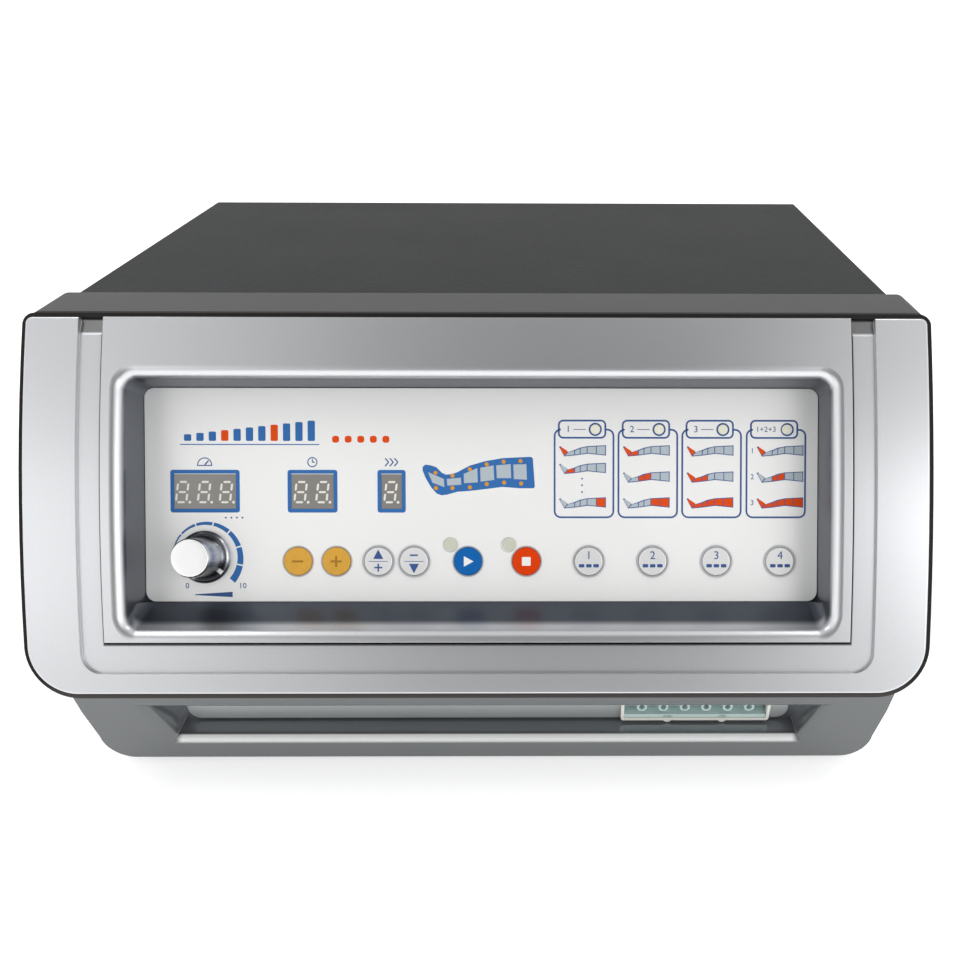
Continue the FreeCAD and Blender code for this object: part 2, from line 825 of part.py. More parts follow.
keys = {
    "amber_key_left": "(amber_pair_share * panel_width - amber_pair_pitch / 2)",
    "amber_key_right": "(amber_pair_share * panel_width + amber_pair_pitch / 2)",
    "up_key": "(arrow_pair_share * panel_width - arrow_pair_pitch / 2)",
    "down_key": "(arrow_pair_share * panel_width + arrow_pair_pitch / 2)",
    "start_key": "(start_key_share * panel_width)",
    "stop_key": "(stop_key_share * panel_width)",
}
for number in range(1, 5):
    keys[f"mode_key_{number}"] = f"((mode_key_share + {number - 1} * mode_pitch_share) * panel_width)"
mode_keys = [name for name in keys if name.startswith("mode_key")]
ringed_keys = ["up_key", "down_key"] + mode_keys
displays = {
    "pressure": ("(pressure_display_share * panel_width)", "pressure_display_width"),
    "time": ("(time_display_share * panel_width)", "time_display_width"),
    "speed": ("(speed_display_share * panel_width)", "speed_display_width"),
}
mode_lamps = [f"({keys[name]} + mode_lamp_offset)" for name in mode_keys]
round_lamps = [f"({keys[name]} - lamp_distance * cos(45))" for name in ("start_key", "stop_key")]
knob_place = "(knob_share * panel_width)"
key_up = "(panel_bottom + key_level_share * panel_height)"
lamp_up = f"({key_up} + lamp_distance * sin(45))"
mode_lamp_up = "(panel_bottom + mode_lamp_level_share * panel_height)"
display_up = "(panel_bottom + display_level_share * panel_height)"
knob_up = "(panel_bottom + knob_level_share * panel_height)"


def build_control_panel():
    body = new_body("control_panel")
    outline = sketch_on(body, "XY_Plane", "PanelOutline", offset=f"-{panel_back}")
    draw_loop(outline, rounded_rectangle("0", panel_middle, "panel_width", "panel_height",
                                         "panel_corner_radius"))
    pad(body, outline, "panel_thickness")
    holes = sketch_on(body, "XY_Plane", "PanelHoles", offset=f"-{panel_back}")
    for place in keys.values():
        draw_circle(holes, place, key_up, "key_diameter + 2 * key_gap")
    for place in round_lamps:
        draw_circle(holes, place, lamp_up, "lamp_diameter")
    for place in mode_lamps:
        draw_circle(holes, place, mode_lamp_up, "mode_lamp_diameter")
    for place, width in displays.values():
        draw_loop(holes, rectangle(place, display_up, f"{width} + 2 * display_gap",
                                   "display_height + 2 * display_gap"))
    draw_circle(holes, knob_place, knob_up, "bushing_diameter + 2 * display_gap")
    pocket(body, holes, "panel_thickness * 4", side="Symmetric")
    on_console(body)


def build_displays():
    windows = []
    modules = []
    for place, width in displays.values():
        windows.append(box(f"{place} - {width} / 2", f"{display_up} - display_height / 2",
                           f"-{panel_back}", width, "display_height", "panel_thickness - display_gap"))
        modules.append(box(f"{place} - {width} / 2 + display_gap",
                           f"{display_up} - display_height / 2 + display_gap",
                           f"-{display_board_front}", f"{width} - 2 * display_gap",
                           "display_height - 2 * display_gap", "digit_depth"))
    on_console(keep(group(windows), "display_windows"))
    on_console(keep(group(modules), "digit_modules"))


def build_lamps():
    led_height = f"({display_board_front} - {panel_back})"
    lenses = [cylinder(place, lamp_up, f"-{panel_back}", "lamp_diameter", "panel_thickness + lamp_rise")
              for place in round_lamps]
    on_console(keep(group(lenses), "indicator_lenses"))
    lamps = [cylinder(place, mode_lamp_up, f"-{display_board_front}", "mode_lamp_diameter",
                      f"{led_height} + panel_thickness + lamp_rise") for place in mode_lamps]
    on_console(keep(group(lamps), "mode_lamps"))


def build_key(name, place):
    body = new_body(name)
    profile = sketch_on(body, "XZ_Plane", "KeyProfile" + name.title().replace("_", ""))
    shoulder = f"(-{panel_back} - key_back_gap)"
    flange_bottom = f"({shoulder} - key_flange_thickness)"
    stem_bottom = f"(-{display_board_front} + switch_button_height + 2 * key_travel)"
    face = "(-panel_depth + key_rise)"
    rounding = "(key_rise / 2)"
    draw_loop(profile, [
        ("0", stem_bottom), ("key_stem_diameter / 2", stem_bottom),
        ("key_stem_diameter / 2", flange_bottom), ("key_diameter / 2 + key_flange", flange_bottom),
        ("key_diameter / 2 + key_flange", shoulder), ("key_diameter / 2", shoulder),
        ("key_diameter / 2", f"{face} - {rounding}", rounding),
        (f"key_diameter / 2 - {rounding}", face), ("0", face),
    ])
    revolve(body, profile)
    on_console(body, place, key_up)


def build_key_rings():
    rings = []
    for name in ringed_keys:
        outer = cylinder(keys[name], key_up, "-panel_depth", "key_diameter + 2 * key_gap + 2 * ring_width",
                         "ring_rise")
        inner = cylinder(keys[name], key_up, "-panel_depth", "key_diameter + 2 * key_gap", "ring_rise")
        rings.append(cut(outer, [inner]))
    on_console(keep(group(rings), "key_rings"))


def build_key_switches():
    switches = []
    for place in keys.values():
        case = box(f"{place} - switch_side / 2", f"{key_up} - switch_side / 2", f"-{display_board_front}",
                   "switch_side", "switch_side", "switch_height")
        button = cylinder(place, key_up, f"-{display_board_front}", "key_stem_diameter",
                          "switch_button_height")
        switches.append(fuse([case, button]))
    on_console(keep(group(switches), "key_switches"))


def build_knob():
    body = new_body("pressure_knob")
    low = "(-panel_depth + knob_clearance)"
    skirt_top = f"({low} + knob_skirt_height)"
    top = "(-panel_depth + knob_height)"
    bore_end = f"({top} - knob_wall)"
    hub = f"({low} + knob_hub_start)"
    edge = "(knob_skirt_height / 3)"
    bore = "(shaft_diameter / 2)"
    cavity = "(bushing_diameter / 2 + knob_clearance)"
    profile = sketch_on(body, "XZ_Plane", "KnobProfile")
    draw_loop(profile, [
        (cavity, low), ("knob_skirt_diameter / 2", low),
        ("knob_skirt_diameter / 2", f"{skirt_top} - {edge}", edge),
        (f"knob_skirt_diameter / 2 - {edge}", skirt_top),
        ("knob_base_diameter / 2", skirt_top),
        ("knob_cap_diameter / 2", f"{top} - {edge}", edge),
        (f"knob_cap_diameter / 2 - {edge}", top), ("0", top),
        ("0", bore_end), (bore, bore_end), (bore, hub), (cavity, hub),
    ])
    revolve(body, profile)

    def pointer_corner(reach, across):
        return (f"{reach} * cos(knob_pointer_angle) - ({across}) * sin(knob_pointer_angle)",
                f"{reach} * sin(knob_pointer_angle) + ({across}) * cos(knob_pointer_angle)")

    root, tip = "(knob_cap_diameter / 2 - knob_wall)", f"(knob_skirt_diameter / 2 - {edge})"
    half = "knob_pointer_width / 2"
    pointer = sketch_on(body, "XY_Plane", "KnobPointer", offset=f"{skirt_top} - {edge}")
    draw_loop(pointer, [pointer_corner(root, f"-{half}"), pointer_corner(tip, f"-{half}"),
                        pointer_corner(tip, half), pointer_corner(root, half)])
    pad(body, pointer, f"{edge} + knob_pointer_height")
    on_console(body, knob_place, knob_up)

    board = f"-{display_board_front}"
    shaft = cylinder("0", "0", f"{board} + 2 * pot_floor", "shaft_diameter",
                     f"{bore_end} - ({board} + 2 * pot_floor)")
    on_console(keep(group([shaft]), "knob_shaft"), knob_place, knob_up)

    case = cylinder("0", "0", board, "pot_diameter", "pot_height")
    bushing = cylinder("0", "0", board, "bushing_diameter",
                       f"{display_board_front} - panel_depth + bushing_rise")
    hollow = cylinder("0", "0", f"{board} + pot_floor", "shaft_diameter + 2 * shaft_clearance",
                      display_board_front)
    on_console(keep(cut(fuse([case, bushing]), [hollow]), "pressure_potentiometer"), knob_place, knob_up)


def build_display_board():
    board_back = f"(-{display_board_front} - board_thickness)"
    board = box("-panel_width / 2", "panel_bottom", board_back, "panel_width", "panel_height",
                "board_thickness")
    connector = box("display_connector_place", panel_middle, f"{board_back} - display_connector_side",
                    "display_connector_length", "display_connector_side", "display_connector_side")
    driver_chip = box("driver_chip_place", f"{panel_middle} - driver_chip_width",
                      f"{board_back} - driver_chip_height", "driver_chip_length", "driver_chip_width",
                      "driver_chip_height")
    on_console(keep(fuse([board, connector, driver_chip]), "display_board"))


def display_board_posts():
    posts = []
    across = "(panel_width / 2 - tub_flange / 2)"
    for x in (f"-{across}", "0", across):
        for up in ("panel_bottom + tub_flange / 2", "panel_bottom + panel_height - tub_flange / 2"):
            posts.append(cylinder(x, up, f"-{display_board_front}", "post_diameter", "display_board_gap"))
    return on_console(group(posts))


# ---- chin moulding and hose socket ----

def build_lower_chin():
    body = new_body("lower_chin")
    top_z = f"({hood_bottom_z} - joint_gap)"
    def outline(inset):
        half_top, half_waist = f"(chin_top_half - {inset})", f"(chin_waist_half - {inset})"
        half_foot, corner = f"(chin_foot_half - {inset})", f"(chin_corner - {inset})"
        low = f"(foot_height + {inset})"
        return [
            (f"-({half_foot} - {corner})", low), (f"{half_foot} - {corner}", low, corner),
            (half_foot, f"{low} + {corner}"), (half_waist, "chin_waist_level"), (half_top, top_z),
            (f"-{half_top}", top_z), (f"-{half_waist}", "chin_waist_level"),
            (f"-{half_foot}", f"{low} + {corner}", corner),
        ]

    face = sketch_on(body, "XZ_Plane", "ChinOutline", offset=f"-{chin_front_y}")
    draw_loop(face, outline("0"))
    pad(body, face, "chin_depth", backwards=True)
    hollow = sketch_on(body, "XZ_Plane", "ChinHollow", offset=f"-{chin_front_y} - chin_wall")
    draw_loop(hollow, outline("chin_wall"))
    pocket(body, hollow, "chin_depth * 2")

    def trough(name, grow, offset):
        sketch = sketch_on(body, "XZ_Plane", name, offset=offset)
        draw_loop(sketch, [
            (f"-trough_floor_half - {grow}", f"trough_bottom - {grow}"),
            (f"trough_floor_half + {grow}", f"trough_bottom - {grow}"),
            (f"trough_mouth_half + {grow}", f"trough_top + {grow}"),
            (f"-trough_mouth_half - {grow}", f"trough_top + {grow}"),
        ])
        return sketch

    tub = trough("TroughTub", "trough_wall", f"-{chin_front_y} - chin_wall / 2")
    pad(body, tub, "chin_depth - chin_wall / 2", backwards=True)
    mouth = trough("TroughMouth", "0", f"-{chin_front_y}")
    pocket(body, mouth, "trough_depth")
    front = size(chin_front_y)

    def mouth_edge(edge):
        middle = edge.CenterOfMass
        within_x = abs(middle.x) < size("trough_mouth_half") + near
        within_z = size("trough_bottom") - near < middle.z < size("trough_top") + near
        on_front = all(abs(vertex.Point.y - front) < near for vertex in edge.Vertexes)
        return on_front and within_x and within_z

    round_edges(body, "trough_lip_radius", mouth_edge)
    window = sketch_on(body, "XZ_Plane", "SocketWindow", offset=f"-{trough_back_y}")
    draw_loop(window, rectangle("socket_place", socket_middle_z, "socket_width - 2 * socket_wall",
                                "socket_height - 2 * socket_wall"))
    pocket(body, window, "chin_depth", side="Symmetric")


def build_trough_plate():
    body = new_body("trough_plate")
    low, high = "(trough_bottom + plate_low_gap)", "(trough_top - plate_high_gap)"
    face = sketch_on(body, "XZ_Plane", "PlateOutline", offset=f"-{trough_back_y}")
    draw_loop(face, [
        ("-plate_half + plate_corner", low), ("plate_half - plate_corner", low, "plate_corner"),
        ("plate_half", f"{low} + plate_corner"), ("plate_half", high),
        ("-plate_half", high), ("-plate_half", f"{low} + plate_corner", "plate_corner"),
    ])
    pad(body, face, "plate_thickness")
    window = sketch_on(body, "XZ_Plane", "PlateWindow", offset=f"-{trough_back_y}")
    draw_loop(window, rectangle("socket_place", socket_middle_z, "socket_width - 2 * socket_wall",
                                "socket_height - 2 * socket_wall"))
    pocket(body, window, "chin_depth", side="Symmetric")


def build_outlet_frame():
    body = new_body("outlet_frame")
    back_y = f"({trough_back_y} - plate_thickness)"
    face = sketch_on(body, "XZ_Plane", "SocketOutline", offset=f"-{back_y}")
    draw_loop(face, rounded_rectangle("socket_place", socket_middle_z, "socket_width", "socket_height",
                                      "socket_wall"))
    pad(body, face, "socket_depth")
    for number, side in enumerate(("-", "+"), start=1):
        bump = sketch_on(body, "XZ_Plane", f"SocketBump{number}", offset=f"-{back_y}")
        draw_circle(bump, f"socket_place {side} socket_bump_place", "socket_bottom + socket_bump_radius / 2",
                    "2 * socket_bump_radius")
        pad(body, bump, "socket_depth")
    inside = sketch_on(body, "XZ_Plane", "SocketInside", offset=f"-{back_y}")
    draw_loop(inside, rectangle("socket_place", socket_middle_z, "socket_width - 2 * socket_wall",
                                "socket_height - 2 * socket_wall"))
    pocket(body, inside, "socket_depth * 3", side="Symmetric")


nozzles = [f"(socket_place + ({number} - (nozzle_count - 1) / 2) * nozzle_pitch)"
           for number in range(int(size("nozzle_count")))]
valves = [f"(socket_place + ({number} - (nozzle_count - 1) / 2) * valve_pitch)"
          for number in range(int(size("nozzle_count")))]
outlet_face_y = f"({trough_back_y} + outlet_setback)"
outlet_step_y = f"({trough_back_y} - plate_thickness - socket_depth + outlet_step_inset)"


def build_outlets():
    inner_width = "(socket_width - 2 * socket_wall - 2 * joint_gap)"
    inner_height = "(socket_height - 2 * socket_wall - 2 * joint_gap)"
    left, low = f"(socket_place - {inner_width} / 2)", f"({socket_middle_z} - {inner_height} / 2)"
    block = box(left, outlet_face_y, low, inner_width, "outlet_block_depth", inner_height)
    step = box(left, outlet_step_y, low, inner_width, f"{outlet_face_y} - {outlet_step_y}",
               "outlet_step_height")
    notches = [cylinder(f"socket_place {side} socket_bump_place", outlet_step_y,
                        "socket_bottom + socket_bump_radius / 2", "outlet_notch_diameter",
                        "outlet_notch_depth", "+Y") for side in ("-", "+")]
    bores = [cylinder(place, outlet_face_y, socket_middle_z, "nozzle_bore", "outlet_block_depth", "+Y")
             for place in nozzles]
    drilled = cut(block, bores)
    tubes = []
    total = "(nozzle_length * 2 + outlet_block_depth)"
    for place in nozzles:
        wall = cylinder(place, f"{outlet_face_y} - nozzle_length", socket_middle_z, "nozzle_diameter",
                        total, "+Y")
        bore = cylinder(place, f"{outlet_face_y} - nozzle_length", socket_middle_z, "nozzle_bore",
                        total, "+Y")
        tubes.append(cut(wall, [bore]))
    keep(fuse([drilled, cut(step, notches)] + tubes), "outlet_block")


# ---- sheet-metal case ----

side_screws_y = [f"({rear_y} - side_screw_inset)", f"({rear_y} - cover_depth / 2)",
                 f"({rear_y} - cover_depth + side_screw_inset)"]
side_screw_z = "(foot_height + tray_flange / 2)"
rear_screws = [(f"{side} * (cover_width / 2 - rear_screw_inset)", z)
               for side in ("-1", "1") for z in (side_screw_z, f"({cover_top_z} - rear_screw_drop)")]
fan_screws = [(f"fan_place + {side} * fan_screw_spacing / 2", f"fan_level + {rise} * fan_screw_spacing / 2")
              for side in ("-1", "1") for rise in ("-1", "1")]
screw_hole = "(screw_diameter + 2 * joint_gap)"
tray_half = "(cover_width / 2 - cover_sheet - joint_gap)"
rear_face_y = f"({rear_panel_y} + tray_sheet)"


def build_top_cover():
    body = new_body("top_cover")

    def arch(name, inset, bend, low):
        sketch = sketch_on(body, "XZ_Plane", name)
        side, top = f"(cover_width / 2 - {inset})", f"({cover_top_z} - {inset})"
        draw_loop(sketch, [(f"-{side}", low), (side, low), (side, f"{top} - {bend}", bend),
                           (f"{side} - {bend}", top), (f"-({side} - {bend})", top, bend),
                           (f"-{side}", f"{top} - {bend}")])
        return sketch

    outer = arch("CoverOutside", "0", "cover_bend", "cover_bottom")
    pad(body, outer, overall_depth, side="Symmetric")
    inner = arch("CoverInside", "cover_sheet", "(cover_bend - cover_sheet)", "(cover_bottom - overshoot)")
    pocket(body, inner, f"{overall_depth} * 2", side="Symmetric")

    # the front edge follows the hood's slope, and below it the chin's back
    nose = sketch_on(body, "YZ_Plane", "CoverNose")
    under, over, far = "(-overshoot)", f"({cover_top_z} + overshoot)", f"(-{overall_depth})"
    edge_low = f"({hood_bottom_rear_y} + cover_gap)"
    ledge = f"({hood_bottom_z} - cover_gap)"
    rise = f"(({over} - {hood_bottom_z}) * tan(front_tilt))"
    draw_loop(nose, [
        (far, under), (f"{chin_rear_y} + cover_gap", under), (f"{chin_rear_y} + cover_gap", ledge),
        (edge_low, ledge), (edge_low, hood_bottom_z), (f"{edge_low} + {rise}", over), (far, over),
    ])
    pocket(body, nose, "cover_width * 2", side="Symmetric")

    holes = sketch_on(body, "YZ_Plane", "CoverScrewHoles")
    for y in side_screws_y:
        draw_circle(holes, y, side_screw_z, screw_hole)
    pocket(body, holes, "cover_width * 2", side="Symmetric")


def build_base_tray():
    width = f"2 * {tray_half}"
    back = f"({rear_panel_y} - joint_gap)"
    depth = f"({back} - {tray_front_y})"
    floor = box(f"-{tray_half}", tray_front_y, "foot_height", width, depth, "tray_sheet")
    left = box(f"-{tray_half}", tray_front_y, "foot_height", "tray_sheet", depth, "tray_flange")
    right = box(f"{tray_half} - tray_sheet", tray_front_y, "foot_height", "tray_sheet", depth, "tray_flange")
    front = box(f"-{tray_half}", tray_front_y, "foot_height", width, "tray_sheet", "tray_front_height")
    rear = box(f"-{tray_half}", f"{back} - tray_sheet", "foot_height", width, "tray_sheet", "tray_flange")
    tools = [box("socket_place - socket_width / 2", f"{tray_front_y} - overshoot", "socket_bottom",
                 "socket_width", "tray_sheet + 2 * overshoot", "socket_height")]
    for y in side_screws_y:
        tools.append(cylinder(f"-{tray_half} - overshoot", y, side_screw_z, screw_hole,
                              f"{width} + 2 * overshoot", "+X"))
    for x, z in rear_screws:
        tools.append(cylinder(x, f"{back} - overshoot", z, screw_hole, "2 * overshoot", "+Y"))
    keep(cut(fuse([floor, left, right, front, rear]), tools), "base_tray")


def build_rear_panel():
    body = new_body("rear_panel")
    top = f"({cover_top_z} - cover_sheet - joint_gap)"

    def panel_sketch(name):
        return sketch_on(body, "XZ_Plane", name, offset=f"-{rear_panel_y}")

    def cut_through(sketch):
        return pocket(body, sketch, "tray_sheet * 4", side="Symmetric")

    outline = panel_sketch("RearOutline")
    draw_loop(outline, [
        (f"-{tray_half}", "foot_height"), (tray_half, "foot_height"),
        (tray_half, f"{top} - cover_bend", "cover_bend"), (f"{tray_half} - cover_bend", top),
        (f"-({tray_half} - cover_bend)", top, "cover_bend"), (f"-{tray_half}", f"{top} - cover_bend"),
    ])
    pad(body, outline, "tray_sheet", backwards=True)

    round_holes = panel_sketch("RearHoles")
    draw_circle(round_holes, "fan_place", "fan_level", "fan_bore")
    draw_circle(round_holes, "fuse_place", "inlet_level", "fuse_diameter + 2 * joint_gap")
    for x, z in fan_screws + rear_screws:
        draw_circle(round_holes, x, z, screw_hole)
    cut_through(round_holes)

    cutouts = panel_sketch("RearCutouts")
    draw_loop(cutouts, rectangle("inlet_place", "inlet_level", "inlet_width + 2 * joint_gap",
                                 "inlet_height + 2 * joint_gap"))
    draw_loop(cutouts, rectangle("rocker_place", "inlet_level", "rocker_width + 2 * joint_gap",
                                 "rocker_length + 2 * joint_gap"))
    cut_through(cutouts)

    slot = panel_sketch("VentSlot")
    draw_loop(slot, rounded_rectangle("vent_place", "fan_level", "vent_slot_width", "vent_slot_length",
                                      "(vent_slot_width * 0.49)"))
    row_of_slots = body.newObject("PartDesign::LinearPattern", "VentSlots")
    row_of_slots.Originals = [cut_through(slot)]
    row_of_slots.Direction = (slot, ["H_Axis"])
    bind(row_of_slots, "Length", "vent_slot_pitch * (vent_slot_count - 1)")
    bind(row_of_slots, "Occurrences", "vent_slot_count")
    body.Tip = row_of_slots


def screw(x, y, z, outwards):
    head = cylinder(x, y, z, "screw_head", "screw_head_height", outwards)
    return fuse([head, cylinder(x, y, z, "screw_diameter", "screw_length", opposite[outwards])])


def build_screws():
    screws = []
    for y in side_screws_y:
        screws.append(screw("cover_width / 2", y, side_screw_z, "+X"))
        screws.append(screw("-cover_width / 2", y, side_screw_z, "-X"))
    for x, z in rear_screws + fan_screws:
        screws.append(screw(x, rear_face_y, z, "+Y"))
    keep(group(screws), "case_screws")


def build_feet():
    feet = [cone(f"{side} * (cover_width / 2 - foot_inset)", y, "0", "foot_diameter - foot_taper",
                 "foot_diameter", "foot_height")
            for side in ("-1", "1") for y in (f"{tray_front_y} + foot_front_inset", f"{rear_y} - foot_inset")]
    keep(group(feet), "rubber_feet")


# ---- rear panel fittings ----

def build_fan():
    front = f"({rear_panel_y} - fan_depth - joint_gap)"
    low_x, low_z = "(fan_place - fan_size / 2)", "(fan_level - fan_size / 2)"
    case = box(low_x, front, low_z, "fan_size", "fan_depth", "fan_size")
    start, span = f"{front} - overshoot", "fan_depth + 2 * overshoot"
    tools = [cylinder("fan_place", start, "fan_level", "fan_bore", span, "+Y")]
    tools += [cylinder(x, start, z, screw_hole, span, "+Y") for x, z in fan_screws]
    cup = cylinder("fan_place", front, "fan_level", "fan_hub + fan_cup_rim", "fan_cup_depth", "+Y")
    inside = "(fan_size - fan_cup_rim)"
    level_arm = box(f"fan_place - {inside} / 2", front, "fan_level - fan_arm_width / 2", inside,
                    "fan_arm_depth", "fan_arm_width")
    upright_arm = box("fan_place - fan_arm_width / 2", front, f"fan_level - {inside} / 2", "fan_arm_width",
                      "fan_arm_depth", inside)
    keep(fuse([cut(case, tools), cup, level_arm, upright_arm]), "fan_frame")

    rotor_front = f"({front} + fan_cup_depth + fan_rotor_gap)"
    rotor_depth = "(fan_depth - fan_cup_depth - fan_rotor_gap - fan_tail_gap)"
    hub = cylinder("fan_place", rotor_front, "fan_level", "fan_hub", rotor_depth, "+Y")
    blades = []
    tip = "(fan_bore / 2 - fan_tip_gap)"
    for number in range(int(size("fan_blade_count"))):
        blade = box("fan_place", rotor_front, "fan_level", "fan_blade_thickness",
                    f"{rotor_depth} / cos(fan_blade_pitch)", tip)
        turn = Rotation(Vector(0, 1, 0), 360 * number / size("fan_blade_count"))
        blade.Placement = Placement(Vector(), turn * Rotation(Vector(0, 0, 1), size("fan_blade_pitch")))
        blades.append(blade)
    envelope = cylinder("fan_place", rotor_front, "fan_level", f"2 * {tip}", rotor_depth, "+Y")
    trimmed = doc.addObject("Part::MultiCommon", "RotorTrim")
    trimmed.Shapes = [fuse([hub] + blades), envelope]
    keep(trimmed, "fan_rotor")


def build_fan_guard():
    guard_y = f"({rear_face_y} + guard_wire / 2)"
    reach = "(fan_screw_spacing / 2 * sqrt(2) - screw_head / 2 - joint_gap)"
    wires = []
    for number in range(int(size("guard_ring_count"))):
        ring = doc.addObject("Part::Torus", "GuardRing")
        ring.Placement = Placement(Vector(), axis_turns["+Y"])
        bind_all(ring, {"Radius1": f"fan_bore / 2 - guard_inset - {number} * guard_pitch",
                        "Radius2": "guard_wire / 2"})
        bind_place(ring, "fan_place", guard_y, "fan_level")
        wires.append(ring)
    for angle in (45, 135):
        spoke = doc.addObject("Part::Cylinder", "GuardSpoke")
        spoke.Placement = Placement(Vector(), Rotation(Vector(0, 1, 0), angle))
        bind_all(spoke, {"Radius": "guard_wire / 2", "Height": f"2 * {reach}"})
        bind_place(spoke, f"fan_place - {reach} * sin({angle})", guard_y,
                   f"fan_level - {reach} * cos({angle})")
        wires.append(spoke)
    keep(fuse(wires), "fan_guard")


def build_mains_inlet():
    bottom = "(inlet_level - inlet_height / 2)"
    left = "(inlet_place - inlet_width / 2)"
    inner_end = f"({rear_face_y} - inlet_depth)"
    flange = box(f"{left} - inlet_flange", rear_face_y, f"{bottom} - inlet_wall",
                 "inlet_width + 2 * inlet_flange", "inlet_flange", "inlet_height + 2 * inlet_wall")
    case = box(left, inner_end, bottom, "inlet_width", "inlet_depth", "inlet_height")
    cavity = box(f"{left} + inlet_wall", f"{inner_end} + inlet_floor", f"{bottom} + inlet_wall",
                 "inlet_width - 2 * inlet_wall", "inlet_depth", "inlet_height - 2 * inlet_wall")
    keep(cut(fuse([flange, case]), [cavity]), "mains_inlet")

    # line and neutral side by side, with the earth contact between and above them
    contacts = [("-contact_spread", "-contact_drop"), ("0", "contact_rise"),
                ("contact_spread", "-contact_drop")]
    blades = [box(f"inlet_place + {x} - contact_thickness / 2", f"{inner_end} + inlet_floor",
                  f"inlet_level + {z} - contact_height / 2", "contact_thickness", "contact_length",
                  "contact_height") for x, z in contacts]
    keep(group(blades), "inlet_contacts")


def build_power_switch():
    bottom = "(inlet_level - rocker_length / 2)"
    left = "(rocker_place - rocker_width / 2)"
    flange = box(f"{left} - switch_lip", rear_face_y, f"{bottom} - switch_lip",
                 "rocker_width + 2 * switch_lip", "switch_lip", "rocker_length + 2 * switch_lip")
    case = box(left, f"{rear_face_y} - rocker_depth", bottom, "rocker_width", "rocker_depth", "rocker_length")
    well = box(f"{left} + switch_wall", f"{rear_face_y} - switch_well", f"{bottom} + switch_wall",
               "rocker_width - 2 * switch_wall", "switch_well * 2", "rocker_length - 2 * switch_wall")
    keep(cut(fuse([flange, case]), [well]), "switch_case")

    # two raised ends with a shallow valley over the pivot
    body = new_body("power_rocker")
    half = "(rocker_length / 2 - switch_wall - rocker_gap)"
    profile = sketch_on(body, "YZ_Plane", "RockerProfile")
    draw_loop(profile, [
        ("-2 * rocker_step", "-rocker_root"), ("rocker_step", f"-{half}"), ("rocker_end", f"-{half}"),
        ("rocker_end / 2", "0"), ("rocker_end", half), ("rocker_step", half),
        ("-2 * rocker_step", "rocker_root"),
    ])
    pad(body, profile, "rocker_width - 2 * switch_wall - 2 * rocker_gap", side="Symmetric")
    body.Placement = Placement(Vector(), Rotation(Vector(1, 0, 0), 1))
    bind_place(body, "rocker_place", f"{rear_face_y} - rocker_pivot_depth", "inlet_level")
    bind(body, "Placement.Rotation.Angle", "rocker_angle")


def build_fuse_holder():
    case = cylinder("fuse_place", rear_face_y, "inlet_level", "fuse_diameter", "fuse_length", "-Y")
    collar = cylinder("fuse_place", rear_face_y, "inlet_level", "fuse_diameter + 2 * fuse_lip",
                      "fuse_lip", "+Y")
    cap = cylinder("fuse_place", rear_face_y, "inlet_level", "fuse_diameter - fuse_lip / 2",
                   "2 * fuse_lip", "+Y")
    slot = box("fuse_place - fuse_diameter", f"{rear_face_y} + 1.5 * fuse_lip",
               "inlet_level - fuse_slot / 2", "2 * fuse_diameter", "fuse_lip", "fuse_slot")
    keep(cut(fuse([case, collar, cap]), [slot]), "fuse_holder")


# ---- air pump ----

pump_bottom = f"({tray_top_z} + mount_height)"
pump_axis_z = f"({pump_bottom} + pump_height / 2)"
pump_left = "(pump_place - pump_length / 2)"


